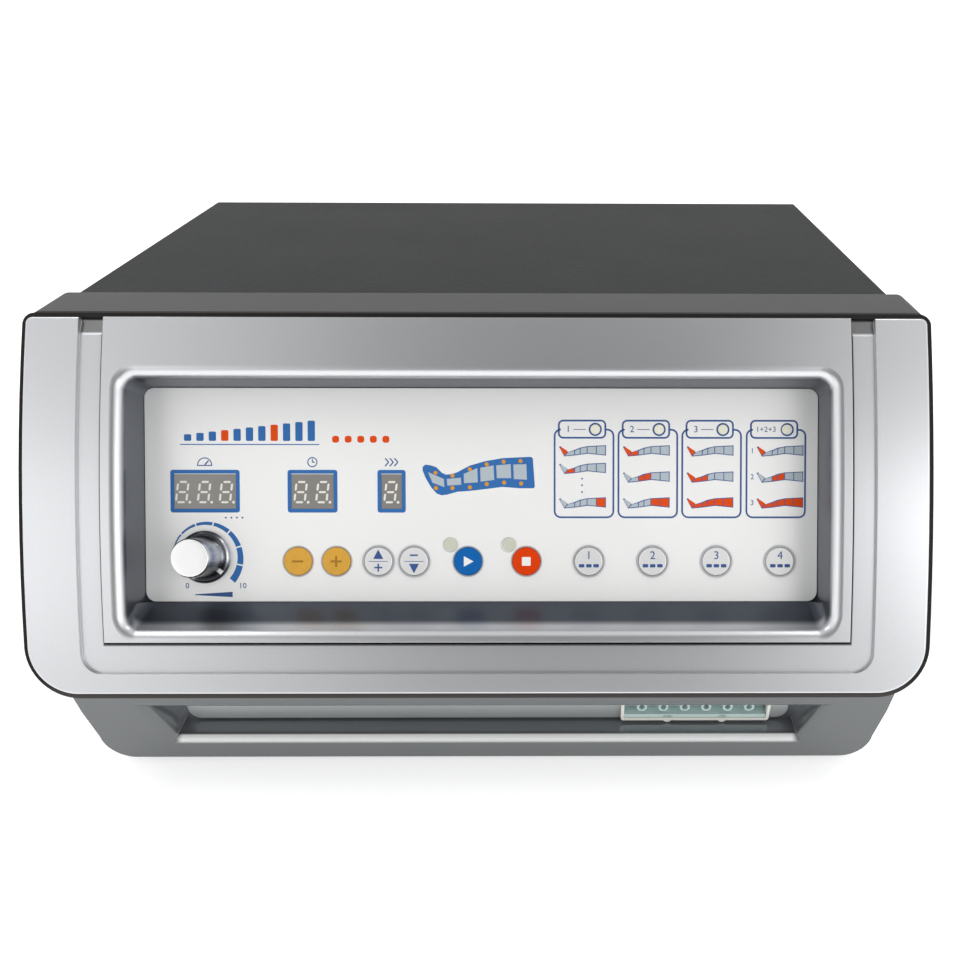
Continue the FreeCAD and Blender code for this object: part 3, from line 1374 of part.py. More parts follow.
def build_pump():
    front = "(pump_middle - pump_width / 2)"
    outer = box(pump_left, front, pump_bottom, "pump_length", "pump_width", "pump_height")
    hollow = box(f"{pump_left} + pump_wall", f"{front} + pump_wall", f"{pump_bottom} + pump_wall",
                 "pump_length - 2 * pump_wall", "pump_width - 2 * pump_wall", "pump_height - 2 * pump_wall")
    rod_hole = cylinder(f"{pump_left} - overshoot", "pump_middle", pump_axis_z,
                        "rod_diameter + 2 * rod_clearance", "pump_length + 2 * overshoot", "+X")
    keep(cut(outer, [hollow, rod_hole]), "pump_housing")

    # each head holds a diaphragm that keeps clear of the housing and of the chamber's end
    gap = "(armature_stroke + diaphragm_gap)"
    chamber_depth = f"(2 * {gap} + 1.5 * diaphragm_thickness)"
    pump_right = f"({pump_left} + pump_length)"
    heads = []
    for block_x, chamber_x in ((f"{pump_left} - pump_head_length", f"{pump_left} - {chamber_depth}"),
                               (pump_right, pump_right)):
        block = box(block_x, "pump_middle - pump_head_side / 2", f"{pump_axis_z} - pump_head_side / 2",
                    "pump_head_length", "pump_head_side", "pump_head_side")
        chamber = cylinder(chamber_x, "pump_middle", pump_axis_z, "diaphragm_diameter + 2 * diaphragm_gap",
                           chamber_depth, "+X")
        heads.append(cut(block, [chamber]))
    keep(group(heads), "pump_heads")

    rod_start = f"({pump_left} - {gap} - diaphragm_thickness)"
    rod = cylinder(rod_start, "pump_middle", pump_axis_z, "rod_diameter",
                   f"pump_length + 2 * {gap} + 2 * diaphragm_thickness", "+X")
    discs = [cylinder(x, "pump_middle", pump_axis_z, "diaphragm_diameter", "diaphragm_thickness", "+X")
             for x in (rod_start, f"{pump_right} + {gap}")]
    magnet = box("pump_place - magnet_length / 2", "pump_middle - magnet_side / 2",
                 f"{pump_axis_z} - magnet_side / 2", "magnet_length", "magnet_side", "magnet_side")
    keep(fuse([rod, magnet] + discs), "pump_armature")

    inner_half = "(pump_width / 2 - pump_wall)"
    yoke_depth = f"({inner_half} - magnet_side / 2 - magnet_gap)"
    coils = [box("pump_place - pump_coil_length / 2", low_y, f"{pump_bottom} + pump_wall",
                 "pump_coil_length", yoke_depth, "pump_height - 2 * pump_wall")
             for low_y in (f"pump_middle - {inner_half}", f"pump_middle + {inner_half} - {yoke_depth}")]
    keep(group(coils), "pump_coils")

    mounts = [cylinder(f"pump_place + {x} * (pump_length / 2 - mount_diameter)",
                       f"pump_middle + {y} * (pump_width / 2 - mount_diameter)", tray_top_z,
                       "mount_diameter", "mount_height") for x in ("-1", "1") for y in ("-1", "1")]
    keep(group(mounts), "pump_mounts")


# ---- valves and tubing ----

manifold_front = "(manifold_middle - manifold_width / 2)"
manifold_top = "(manifold_bottom + manifold_height)"
manifold_length = "(nozzle_count * valve_pitch + 2 * manifold_margin)"
plunger_hole = "(plunger_diameter + 2 * plunger_clearance)"


def build_valves():
    block = box(f"socket_place - {manifold_length} / 2", manifold_front, "manifold_bottom", manifold_length,
                "manifold_width", "manifold_height")
    stands = [box(x, manifold_front, tray_top_z, "stand_width", "manifold_width",
                  f"manifold_bottom - {tray_top_z}")
              for x in (f"socket_place - {manifold_length} / 2",
                        f"socket_place + {manifold_length} / 2 - stand_width")]
    barbs = [cylinder(place, f"{manifold_front} - barb_length", socket_middle_z, "nozzle_diameter",
                      "barb_length * 1.5", "+Y") for place in valves]
    inlet = cylinder(f"socket_place - {manifold_length} / 2 - barb_length", "manifold_middle",
                     socket_middle_z, "tube_bore", "barb_length * 1.5", "+X")
    seats = [cylinder(place, "manifold_middle", f"{manifold_top} - seat_depth", plunger_hole,
                      "seat_depth + overshoot") for place in valves]
    keep(cut(fuse([block, inlet] + stands + barbs), seats), "valve_manifold")

    coils = []
    for number, place in enumerate(valves, start=1):
        coil = cylinder(place, "manifold_middle", manifold_top, "coil_diameter", "coil_height")
        bore = cylinder(place, "manifold_middle", f"{manifold_top} - overshoot", plunger_hole,
                        "coil_height + overshoot - coil_lid")
        coils.append(cut(coil, [bore]))
        keep(cylinder(place, "manifold_middle", f"{manifold_top} - seat_depth + seat_gap",
                      "plunger_diameter", "plunger_length"), f"valve_plunger_{number}")
    keep(group(coils), "solenoid_coils")


def tube(points, outer, inner):
    # straight runs joined by tangent arcs, as large as the two runs at each corner allow
    edges = []
    start = points[0]
    for before, corner, after in zip(points, points[1:], points[2:]):
        to_corner, from_corner = corner - before, after - corner
        turn = to_corner.getAngle(from_corner)
        if turn < 0.01:
            continue
        trim = 0.45 * min(to_corner.Length, from_corner.Length)
        radius = trim / math.tan(turn / 2)
        first = corner - to_corner.normalize() * trim
        last = corner + from_corner.normalize() * trim
        inward = (last - corner + first - corner).normalize()
        reach = radius / math.cos(turn / 2) - radius
        edges.append(Part.LineSegment(start, first).toShape())
        edges.append(Part.Arc(first, corner + inward * reach, last).toShape())
        start = last
    edges.append(Part.LineSegment(start, points[-1]).toShape())
    path = Part.Wire(edges)
    direction = points[1] - points[0]
    rings = [Part.Wire(Part.Circle(points[0], direction, diameter / 2).toShape())
             for diameter in (outer, inner)]
    solids = [path.makePipeShell([ring], True, True) for ring in rings]
    return solids[0].cut(solids[1])


def build_tubes():
    outer = size("tube_diameter")
    level = size(socket_middle_z)
    start_y = size(f"{outlet_face_y} + outlet_block_depth + joint_gap")
    end_y = size(f"{manifold_front} - joint_gap")
    straight = (end_y - start_y) * 0.3
    shapes = []
    for outlet, valve in zip(nozzles, valves):
        x_out, x_valve = size(outlet), size(valve)
        points = [Vector(x_out, start_y, level), Vector(x_out, start_y + straight, level),
                  Vector(x_valve, end_y - straight, level), Vector(x_valve, end_y, level)]
        shapes.append(tube(points, outer, size("nozzle_diameter + 2 * joint_gap")))

    pump_end = Vector(size(f"{pump_left} + pump_length + pump_head_length"), size("pump_middle"),
                      size(pump_axis_z))
    inlet_end = Vector(size(f"socket_place - {manifold_length} / 2 - joint_gap"),
                       size("manifold_middle"), level)
    reach = (inlet_end.x - pump_end.x) / 3
    points = [pump_end, pump_end + Vector(reach, 0, 0), inlet_end - Vector(reach, 0, 0), inlet_end]
    shapes.append(tube(points, outer, size("tube_bore + 2 * joint_gap")))
    item = doc.addObject("Part::Feature", "AirTubes")
    item.Shape = Part.Compound(shapes)
    keep(item, "air_tubes")


# ---- electrics ----

board_left = "(main_board_place - main_board_width / 2)"
board_front = "(main_board_middle - main_board_length / 2)"


def build_transformer():
    front = "(transformer_middle - core_stack / 2)"
    left = "(transformer_place - core_width / 2)"
    block = box(left, front, tray_top_z, "core_width", "core_stack", "core_height")
    window_width = "((core_width - 4 * core_leg) / 2)"
    windows = [box(x, f"{front} - 1", f"{tray_top_z} + core_leg", window_width, "core_stack + 2",
                   "core_height - 2 * core_leg")
               for x in (f"{left} + core_leg", f"{left} + core_width - core_leg - {window_width}")]
    keep(cut(block, windows), "transformer_core")
    outer = box(f"transformer_place - core_leg - {window_width} + joint_gap", f"{front} - winding_swell",
                f"{tray_top_z} + core_leg + joint_gap", f"2 * core_leg + 2 * {window_width} - 2 * joint_gap",
                "core_stack + 2 * winding_swell", "core_height - 2 * core_leg - 2 * joint_gap")
    leg = box("transformer_place - core_leg - joint_gap", f"{front} - joint_gap", tray_top_z,
              "2 * core_leg + 2 * joint_gap", "core_stack + 2 * joint_gap", "core_height")
    keep(cut(outer, [leg]), "transformer_winding")


def build_main_board():
    board = box(board_left, board_front, "main_board_level", "main_board_width", "main_board_length",
                "board_thickness")
    top = "(main_board_level + board_thickness)"
    back = f"({board_front} + main_board_length - board_margin)"
    plugs = [box(f"{board_left} + board_margin + {step} * plug_pitch", f"{board_front} + board_margin / 2",
                 top, "plug_width", "plug_depth", "plug_height")
             for step in range(int(size("plug_count")))]
    capacitors = [cylinder(f"{board_left} + 3 * board_margin + {step} * capacitor_pitch",
                           f"{back} - capacitor_diameter", top, "capacitor_diameter", "capacitor_height")
                  for step in range(2)]
    sink_left = f"({board_left} + main_board_width * 0.4)"
    sink_base = box(sink_left, f"{back} - sink_length", top, "sink_width", "sink_length", "sink_base")
    fins = [box(f"{sink_left} + {step} * (sink_width - sink_fin) / (sink_fin_count - 1)",
                f"{back} - sink_length", top, "sink_fin", "sink_length", "sink_height")
            for step in range(int(size("sink_fin_count")))]
    relay = box(f"{board_left} + main_board_width - 2 * board_margin - relay_width", f"{back} - relay_length",
                top, "relay_width", "relay_length", "relay_height")
    chip = box("main_board_place - chip_side", "main_board_middle - chip_side", top, "chip_side",
               "chip_side", "chip_height")
    keep(fuse([board, chip, relay, sink_base] + capacitors + fins + plugs), "main_board")


def main_board_posts():
    return [cylinder(f"{board_left} + {x}", f"{board_front} + {y}", tray_top_z, "post_diameter",
                     f"main_board_level - {tray_top_z}")
            for x in ("board_margin", "main_board_width - board_margin")
            for y in ("board_margin", "main_board_length - board_margin")]


build_front_frame()
build_edge_trim()
build_hood()
build_inner_bezel()
build_control_panel()
build_displays()
build_lamps()
for key_name, key_place in keys.items():
    build_key(key_name, key_place)
build_key_rings()
build_key_switches()
build_knob()
build_display_board()
build_lower_chin()
build_trough_plate()
build_outlet_frame()
build_outlets()
build_top_cover()
build_base_tray()
build_rear_panel()
build_screws()
build_feet()
build_fan()
build_fan_guard()
build_mains_inlet()
build_power_switch()
build_fuse_holder()
build_pump()
build_valves()
build_tubes()
build_transformer()
build_main_board()
keep(group([display_board_posts()] + main_board_posts()), "board_posts")

doc.recompute()
for item in doc.Objects:
    if "Invalid" in item.State or "Error" in item.State:
        raise RuntimeError(f"{item.Label} failed: {item.State}")
for item in sub_parts:
    if item.Shape.isNull() or not item.Shape.isValid() or not item.Shape.Solids:
        raise RuntimeError(f"{item.Label} has no valid solid")

os.makedirs("parts", exist_ok=True)
for item in sub_parts:
    item.Shape.exportStep(os.path.join("parts", item.Label + ".step"))
print(len(sub_parts), "sub-parts written")
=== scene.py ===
import math

import bmesh
import bpy
from mathutils import Matrix, Vector


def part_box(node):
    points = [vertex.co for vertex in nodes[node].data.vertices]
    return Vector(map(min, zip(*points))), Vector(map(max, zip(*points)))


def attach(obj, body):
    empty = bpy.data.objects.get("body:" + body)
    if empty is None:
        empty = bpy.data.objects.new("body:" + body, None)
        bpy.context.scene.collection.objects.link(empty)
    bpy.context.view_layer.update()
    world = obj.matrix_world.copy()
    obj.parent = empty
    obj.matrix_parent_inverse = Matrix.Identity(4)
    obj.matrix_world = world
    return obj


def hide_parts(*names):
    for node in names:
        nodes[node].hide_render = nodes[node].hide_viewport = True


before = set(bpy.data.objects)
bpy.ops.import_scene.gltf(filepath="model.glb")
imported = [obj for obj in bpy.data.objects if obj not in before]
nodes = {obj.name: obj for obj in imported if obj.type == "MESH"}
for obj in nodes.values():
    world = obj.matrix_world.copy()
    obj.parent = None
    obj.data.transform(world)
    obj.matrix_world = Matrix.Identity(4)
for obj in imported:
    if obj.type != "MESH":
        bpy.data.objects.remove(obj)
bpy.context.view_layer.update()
scene = bpy.context.scene
mm = 0.001
pictureWidth = 960

# the console leans back: x runs along it, v up its face and w out of it
console = {
    "lean": math.radians(33),
    "footZ": 64 * mm,
    "panelLow": 41.2 * mm,       # v of the panel's lower edge
    "panelTop": -17.0 * mm,      # w of the printed film
    "windowTop": -17.1 * mm,     # w of the display windows
    "keyTop": -16.0 * mm,
    "keyRow": 59.5 * mm,         # v of the key centres
    "ink": 0.05 * mm,            # height of the prints
}
leanSin, leanCos = math.sin(console["lean"]), math.cos(console["lean"])
faceOut, faceUp = (0, -leanCos, leanSin), (0, leanSin, leanCos)
# the panel's lower front edge says where the console stands
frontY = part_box("control_panel")[0][1] - console["panelLow"] * leanSin + console["panelTop"] * leanCos


def consoleMatrix():
    return Matrix(((1, 0, 0, 0),
                   (0, leanSin, -leanCos, frontY),
                   (0, leanCos, leanSin, console["footZ"]),
                   (0, 0, 0, 1)))


# a view down onto the face; its centre is off the middle of the picture
viewer = {
    "focalPixels": 838.1,
    "centreX": 567.9, "centreY": 548.2,
    "yaw": -0.551, "pitch": 34.208, "roll": 0.313,
    "place": (0.035915, frontY - 0.26656, 0.324823),
}


def makeCamera():
    data = bpy.data.cameras.new("studioCamera")
    camera = bpy.data.objects.new("studioCamera", data)
    scene.collection.objects.link(camera)
    data.sensor_width = 36       # millimetres
    data.lens = viewer["focalPixels"] / pictureWidth * data.sensor_width
    data.shift_x = 0.5 - viewer["centreX"] / pictureWidth
    data.shift_y = viewer["centreY"] / pictureWidth - 0.5
    data.clip_start = 0.01
    tip = math.radians(90 - viewer["pitch"])
    turn = Matrix.Rotation(math.radians(viewer["yaw"]), 4, "Z")
    camera.matrix_world = (Matrix.Translation(viewer["place"]) @ turn @ Matrix.Rotation(tip, 4, "X")
                           @ Matrix.Rotation(math.radians(viewer["roll"]), 4, "Z"))
    scene.camera = camera


makeCamera()
print("camera placed")


def newGroup(name, inputs, outputs):
    group = bpy.data.node_groups.new(name, "ShaderNodeTree")
    for label, kind, value in inputs:
        socket = group.interface.new_socket(label, in_out="INPUT", socket_type="NodeSocket" + kind)
        socket.default_value = value
    for label, kind in outputs:
        group.interface.new_socket(label, in_out="OUTPUT", socket_type="NodeSocket" + kind)
    return group, group.nodes.new("NodeGroupInput"), group.nodes.new("NodeGroupOutput")


def feed(tree, socket, value):
    if isinstance(value, (int, float, tuple)):
        socket.default_value = value
    else:
        tree.links.new(value, socket)


def mathNode(tree, operation, first, second=0.0, clamp=False):
    node = tree.nodes.new("ShaderNodeMath")
    node.operation = operation
    node.use_clamp = clamp
    feed(tree, node.inputs[0], first)
    feed(tree, node.inputs[1], second)
    return node.outputs[0]


def times(tree, first, second, clamp=False):
    return mathNode(tree, "MULTIPLY", first, second, clamp)


def larger(tree, first, second):
    return mathNode(tree, "MAXIMUM", first, second)


def oneMinus(tree, value):
    return mathNode(tree, "SUBTRACT", 1.0, value)


def dotNode(tree, first, second):
    node = tree.nodes.new("ShaderNodeVectorMath")
    node.operation = "DOT_PRODUCT"
    feed(tree, node.inputs[0], first)
    feed(tree, node.inputs[1], second)
    return node.outputs["Value"]


def objectPlace(tree):
    return tree.nodes.new("ShaderNodeTexCoord").outputs["Object"]


def mixColours(tree, share, first, second):
    node = tree.nodes.new("ShaderNodeMix")
    node.data_type = "RGBA"
    for socket, value in ((node.inputs[0], share), (node.inputs[6], first), (node.inputs[7], second)):
        feed(tree, socket, value)
    return node.outputs[2]


def along(tree, place, axis, start=0.0):
    # distance of a place along an axis, from its start, in millimetres
    return mathNode(tree, "SUBTRACT", dotNode(tree, place, tuple(part / mm for part in axis)), start / mm)


def ramp(tree, value, low, high):
    # 0 below low, 1 above high, smooth between
    node = tree.nodes.new("ShaderNodeMapRange")
    node.interpolation_type = "SMOOTHSTEP"
    feed(tree, node.inputs["Value"], value)
    feed(tree, node.inputs["From Min"], low)
    feed(tree, node.inputs["From Max"], high)
    return node.outputs["Result"]


def noiseNode(tree, coordinates, size, detail=3, roughness=0.6):
    node = tree.nodes.new("ShaderNodeTexNoise")
    tree.links.new(coordinates, node.inputs["Vector"])
    node.inputs["Detail"].default_value = detail
    node.inputs["Roughness"].default_value = roughness
    feed(tree, node.inputs["Scale"], size)
    return node.outputs["Fac"]


def surfaceGroup():
    # fine grain and a slow mottle round one colour, a height for the grain, and a varied roughness
    group, given, made = newGroup(
        "surfaceGrain",
        (("Colour", "Color", (0.5, 0.5, 0.5, 1)), ("Grain", "Float", 2500.0), ("Mottle", "Float", 18.0),
         ("Speckle", "Float", 0.05), ("Cloud", "Float", 0.05), ("Roughness", "Float", 0.4),
         ("Spread", "Float", 0.1)),
        (("Colour", "Color"), ("Height", "Float"), ("Roughness", "Float")))
    place = objectPlace(group)
    fine = noiseNode(group, place, given.outputs["Grain"], 2)
    broad = noiseNode(group, place, given.outputs["Mottle"], 4)
    grain, mottle = (mathNode(group, "SUBTRACT", noise, 0.5) for noise in (fine, broad))
    speckle = times(group, grain, given.outputs["Speckle"])
    cloud = times(group, mottle, given.outputs["Cloud"])
    tone = mathNode(group, "ADD", mathNode(group, "ADD", speckle, cloud), 1.0)
    scaled = group.nodes.new("ShaderNodeVectorMath")
    scaled.operation = "SCALE"
    group.links.new(given.outputs["Colour"], scaled.inputs[0])
    group.links.new(tone, scaled.inputs["Scale"])
    group.links.new(scaled.outputs[0], made.inputs["Colour"])
    group.links.new(fine, made.inputs["Height"])
    varied = times(group, mottle, given.outputs["Spread"])
    rough = mathNode(group, "ADD", varied, given.outputs["Roughness"], True)
    group.links.new(rough, made.inputs["Roughness"])
    return group


edgeWear = {"reach": 0.6 * mm, "patches": 220.0, "gain": 3.0}
bevelSamples = 4


def wearGroup():
    # a mask of the outer edges, broken up a little
    group, given, made = newGroup("edgeWear", (("Amount", "Float", 0.5),), (("Mask", "Float"),))
    around = group.nodes.new("ShaderNodeBevel")
    around.samples = bevelSamples
    around.inputs["Radius"].default_value = edgeWear["reach"]
    flat = group.nodes.new("ShaderNodeNewGeometry")
    turned = dotNode(group, around.outputs["Normal"], flat.outputs["Normal"])
    patchy = noiseNode(group, objectPlace(group), edgeWear["patches"], 3)
    rim = times(group, oneMinus(group, turned), edgeWear["gain"], True)
    mask = times(group, times(group, rim, patchy), given.outputs["Amount"], True)
    group.links.new(mask, made.inputs["Mask"])
    return group


grainGroup = surfaceGroup()
edgeGroup = wearGroup()


def facing(tree, axis=faceOut):
    # how far the surface faces along an axis: for the console's own, 1 on its face and 0 on a wall
    return dotNode(tree, tree.nodes.new("ShaderNodeNewGeometry").outputs["Normal"], axis)


def fromFoot(tree, place, axis):
    # distance of a place along an axis from the foot of the console's face, in millimetres
    return along(tree, place, axis, Vector((0, frontY, console["footZ"])).dot(axis))


def fromMiddle(tree, place):
    # distance of a place from the console's middle, to either side, in millimetres
    return mathNode(tree, "ABSOLUTE", along(tree, place, (1, 0, 0)))


def shadeGroup(name, inputs=(), outputs=(("Colour", "Color"),)):
    # a group that shares a surface between a lit and a shaded colour
    colours = ("Lit", "Color", (1, 1, 1, 1)), ("Shaded", "Color", (0, 0, 0, 1))
    return newGroup(name, (*colours, *inputs), outputs)


def blend(group, given, made, share, low="Shaded", high="Lit"):
    # one colour where the share is 0, the other where it is 1
    group.links.new(mixColours(group, share, given.outputs[low], given.outputs[high]), made.inputs["Colour"])


# Each pair below says where a shade starts and ends. A facing is a share of 1, a place is in millimetres.
recess = {"wallFacing": (0.12, 0.75), "depth": (-6.0, -0.4), "sideFacing": (0.5, 0.95), "sideLight": 0.12}


def recessShade():
    # the tub walls of the bezel and the walls of its joints lie in their own shade
    group, given, made = shadeGroup("recessShade")
    height = fromFoot(group, objectPlace(group), faceOut)
    side = ramp(group, mathNode(group, "ABSOLUTE", facing(group, (1, 0, 0))), *recess["sideFacing"])
    share = mathNode(group, "MINIMUM", ramp(group, facing(group), *recess["wallFacing"]),
                     ramp(group, height, *recess["depth"]))
    blend(group, given, made, larger(group, share, times(group, side, recess["sideLight"])))
    return group


band = {
    "endRise": (158.2, 159.8), "endSide": (172.2, 172.6),        # the bent ends, just under the top edge
    "wallFacing": (0.2, 0.9), "wallSide": (173.5, 174.5), "wallShare": 0.3,      # the walls of the step
    "jointSide": (162.8, 163.3), "jointRise": (23.0, 23.6),      # the joint with the bezel
}


def bandShade():
    # the shaded places of the bands down both sides of the face
    group, given, made = shadeGroup("bandShade")
    place = objectPlace(group)
    rise, side = fromFoot(group, place, faceUp), fromMiddle(group, place)
    ends = times(group, ramp(group, rise, *band["endRise"]),
                 oneMinus(group, ramp(group, side, *band["endSide"])))
    walls = times(group, oneMinus(group, ramp(group, facing(group), *band["wallFacing"])),
                  oneMinus(group, ramp(group, side, *band["wallSide"])))
    joint = times(group, oneMinus(group, ramp(group, side, *band["jointSide"])),
                  ramp(group, rise, *band["jointRise"]))
    share = larger(group, larger(group, ends, joint), times(group, walls, band["wallShare"]))
    blend(group, given, made, share, "Lit", "Shaded")
    return group


trough = {
    "front": frontY + 20 * mm,
    "deep": (2.2, 6.0), "ends": (162.0, 164.0), "bottom": (16.0, 17.5), "top": (38.5, 39.5),
    "lipEnds": (149.0, 153.0), "lipFacing": (0.15, 0.55), "lipFlat": (0.9, 0.98),
    "lipBottom": (12.5, 13.5), "lipTop": (18.2, 18.6),
    # colour of the painted highlight on the lip, and the paint's metallic share away from it
    "paintedHighlight": (0.95, 0.95, 0.955, 1), "metal": 0.6,
}


def troughShade():
    # painted light inside the hose trough, and a painted highlight on the rounding of its lip, where the
    # metallic share drops so that it shows
    group, given, made = shadeGroup("troughShade", outputs=(("Colour", "Color"), ("Metal", "Float")))
    place = objectPlace(group)
    deep = along(group, place, (0, 1, 0), trough["front"])
    rise, side = along(group, place, (0, 0, 1)), fromMiddle(group, place)
    inside = times(group, ramp(group, deep, *trough["deep"]),
                   oneMinus(group, ramp(group, side, *trough["ends"])))
    level = times(group, ramp(group, rise, *trough["bottom"]),
                  oneMinus(group, ramp(group, rise, *trough["top"])))
    paint = mixColours(group, times(group, inside, level), given.outputs["Lit"], given.outputs["Shaded"])
    # where the painted highlight goes: along the lip, on its rounding, at its height
    length = oneMinus(group, ramp(group, side, *trough["lipEnds"]))
    turn = facing(group, (0, 0, 1))
    bead = times(group, ramp(group, turn, *trough["lipFacing"]),
                 oneMinus(group, ramp(group, turn, *trough["lipFlat"])))
    low = times(group, ramp(group, rise, *trough["lipBottom"]),
                oneMinus(group, ramp(group, rise, *trough["lipTop"])))
    lip = times(group, times(group, bead, low), length)
    group.links.new(mixColours(group, lip, paint, trough["paintedHighlight"]), made.inputs["Colour"])
    group.links.new(times(group, oneMinus(group, lip), trough["metal"]), made.inputs["Metal"])
    return group


trim = {"rise": (58.0, 72.0)}


def trimShade():
    # the edge strip is lighter under the face, where the floor lights it
    group, given, made = shadeGroup("trimShade")
    blend(group, given, made, ramp(group, along(group, objectPlace(group), (0, 0, 1)), *trim["rise"]))
    return group


# painted reflection bands: how many go round, where they start, a finer set and its share, and the limits of
# the mask
chrome = {"waves": 2.0, "offset": 0.9, "fineWaves": 5.0, "fineShare": 0.35, "limits": (-0.5, 0.75)}


def chromeReflectionBands():
    # painted reflection: soft light and dark bands painted round an upright wall, like those that turned
    # metal reflects
    aims = [(label, "Vector", (0, 0, 0)) for label in ("Side", "Up", "Middle")]
    group, given, made = shadeGroup("chromeReflectionBands", aims)
    away = group.nodes.new("ShaderNodeVectorMath")
    away.operation = "SUBTRACT"
    group.links.new(objectPlace(group), away.inputs[0])
    group.links.new(given.outputs["Middle"], away.inputs[1])
    side, up = (dotNode(group, away.outputs[0], given.outputs[label]) for label in ("Side", "Up"))
    angle = mathNode(group, "ARCTAN2", up, side)
    turned = mathNode(group, "ADD", times(group, angle, chrome["waves"]), chrome["offset"])
    fine = mathNode(group, "SINE", times(group, angle, chrome["fineWaves"]))
    wave = mathNode(group, "ADD", mathNode(group, "SINE", turned), times(group, fine, chrome["fineShare"]))
    blend(group, given, made, ramp(group, wave, *chrome["limits"]))
    return group


shades = {"recess": recessShade(), "band": bandShade(), "trough": troughShade(), "trim": trimShade(),
          "chrome": chromeReflectionBands()}


def rgb(*shown):
    # screen colour to scene colour
    return (*(pow((c + 0.055) / 1.055, 2.4) if c > 0.04045 else c / 12.92 for c in shown), 1)


def finishMaterial(name, colour, roughness=0.4, metallic=0.0, grain=2500.0, mottle=18.0, speckle=0.05,
                   cloud=0.05, spread=0.1, bump=0.1, depth=0.00002, coat=0.0, coatRoughness=0.1,
                   softEdge=0.0003, specular=0.5, wear=0.0, worn=None, shade=None, shaded=None):
    material = bpy.data.materials.new(name)
    material.use_nodes = True
    tree = material.node_tree
    shader = tree.nodes["Principled BSDF"]
    group = tree.nodes.new("ShaderNodeGroup")
    group.node_tree = grainGroup
    for label, value in (("Colour", rgb(*colour)), ("Grain", grain), ("Mottle", mottle), ("Speckle", speckle),
                         ("Cloud", cloud), ("Roughness", roughness), ("Spread", spread)):
        group.inputs[label].default_value = value
    if shade:
        tint = tree.nodes.new("ShaderNodeGroup")
        tint.node_tree = shades[shade]
        tint.inputs["Lit"].default_value = rgb(*colour)
        tint.inputs["Shaded"].default_value = rgb(*shaded)
        tree.links.new(tint.outputs["Colour"], group.inputs["Colour"])
        if "Metal" in tint.outputs:      # only the trough's shade has one
            tree.links.new(tint.outputs["Metal"], shader.inputs["Metallic"])
    paint = group.outputs["Colour"]
    if wear:
        edges = tree.nodes.new("ShaderNodeGroup")
        edges.node_tree = edgeGroup
        edges.inputs["Amount"].default_value = wear
        paint = mixColours(tree, edges.outputs["Mask"], paint, rgb(*worn))
    tree.links.new(paint, shader.inputs["Base Color"])
    tree.links.new(group.outputs["Roughness"], shader.inputs["Roughness"])
    shader.inputs["Metallic"].default_value = metallic
    shader.inputs["Coat Weight"].default_value = coat
    shader.inputs["Coat Roughness"].default_value = coatRoughness
    shader.inputs["Specular IOR Level"].default_value = specular
    relief = tree.nodes.new("ShaderNodeBump")
    relief.inputs["Strength"].default_value = bump
    relief.inputs["Distance"].default_value = depth
    tree.links.new(group.outputs["Height"], relief.inputs["Height"])
    if softEdge:
        rounded = tree.nodes.new("ShaderNodeBevel")
        rounded.samples = bevelSamples
        rounded.inputs["Radius"].default_value = softEdge
        tree.links.new(rounded.outputs["Normal"], relief.inputs["Normal"])
    tree.links.new(relief.outputs["Normal"], shader.inputs["Normal"])
    return material


silver = dict(colour=(0.86, 0.865, 0.875), metallic=0.8, grain=2400, speckle=0.16, cloud=0.03, mottle=9,
              bump=0.0)
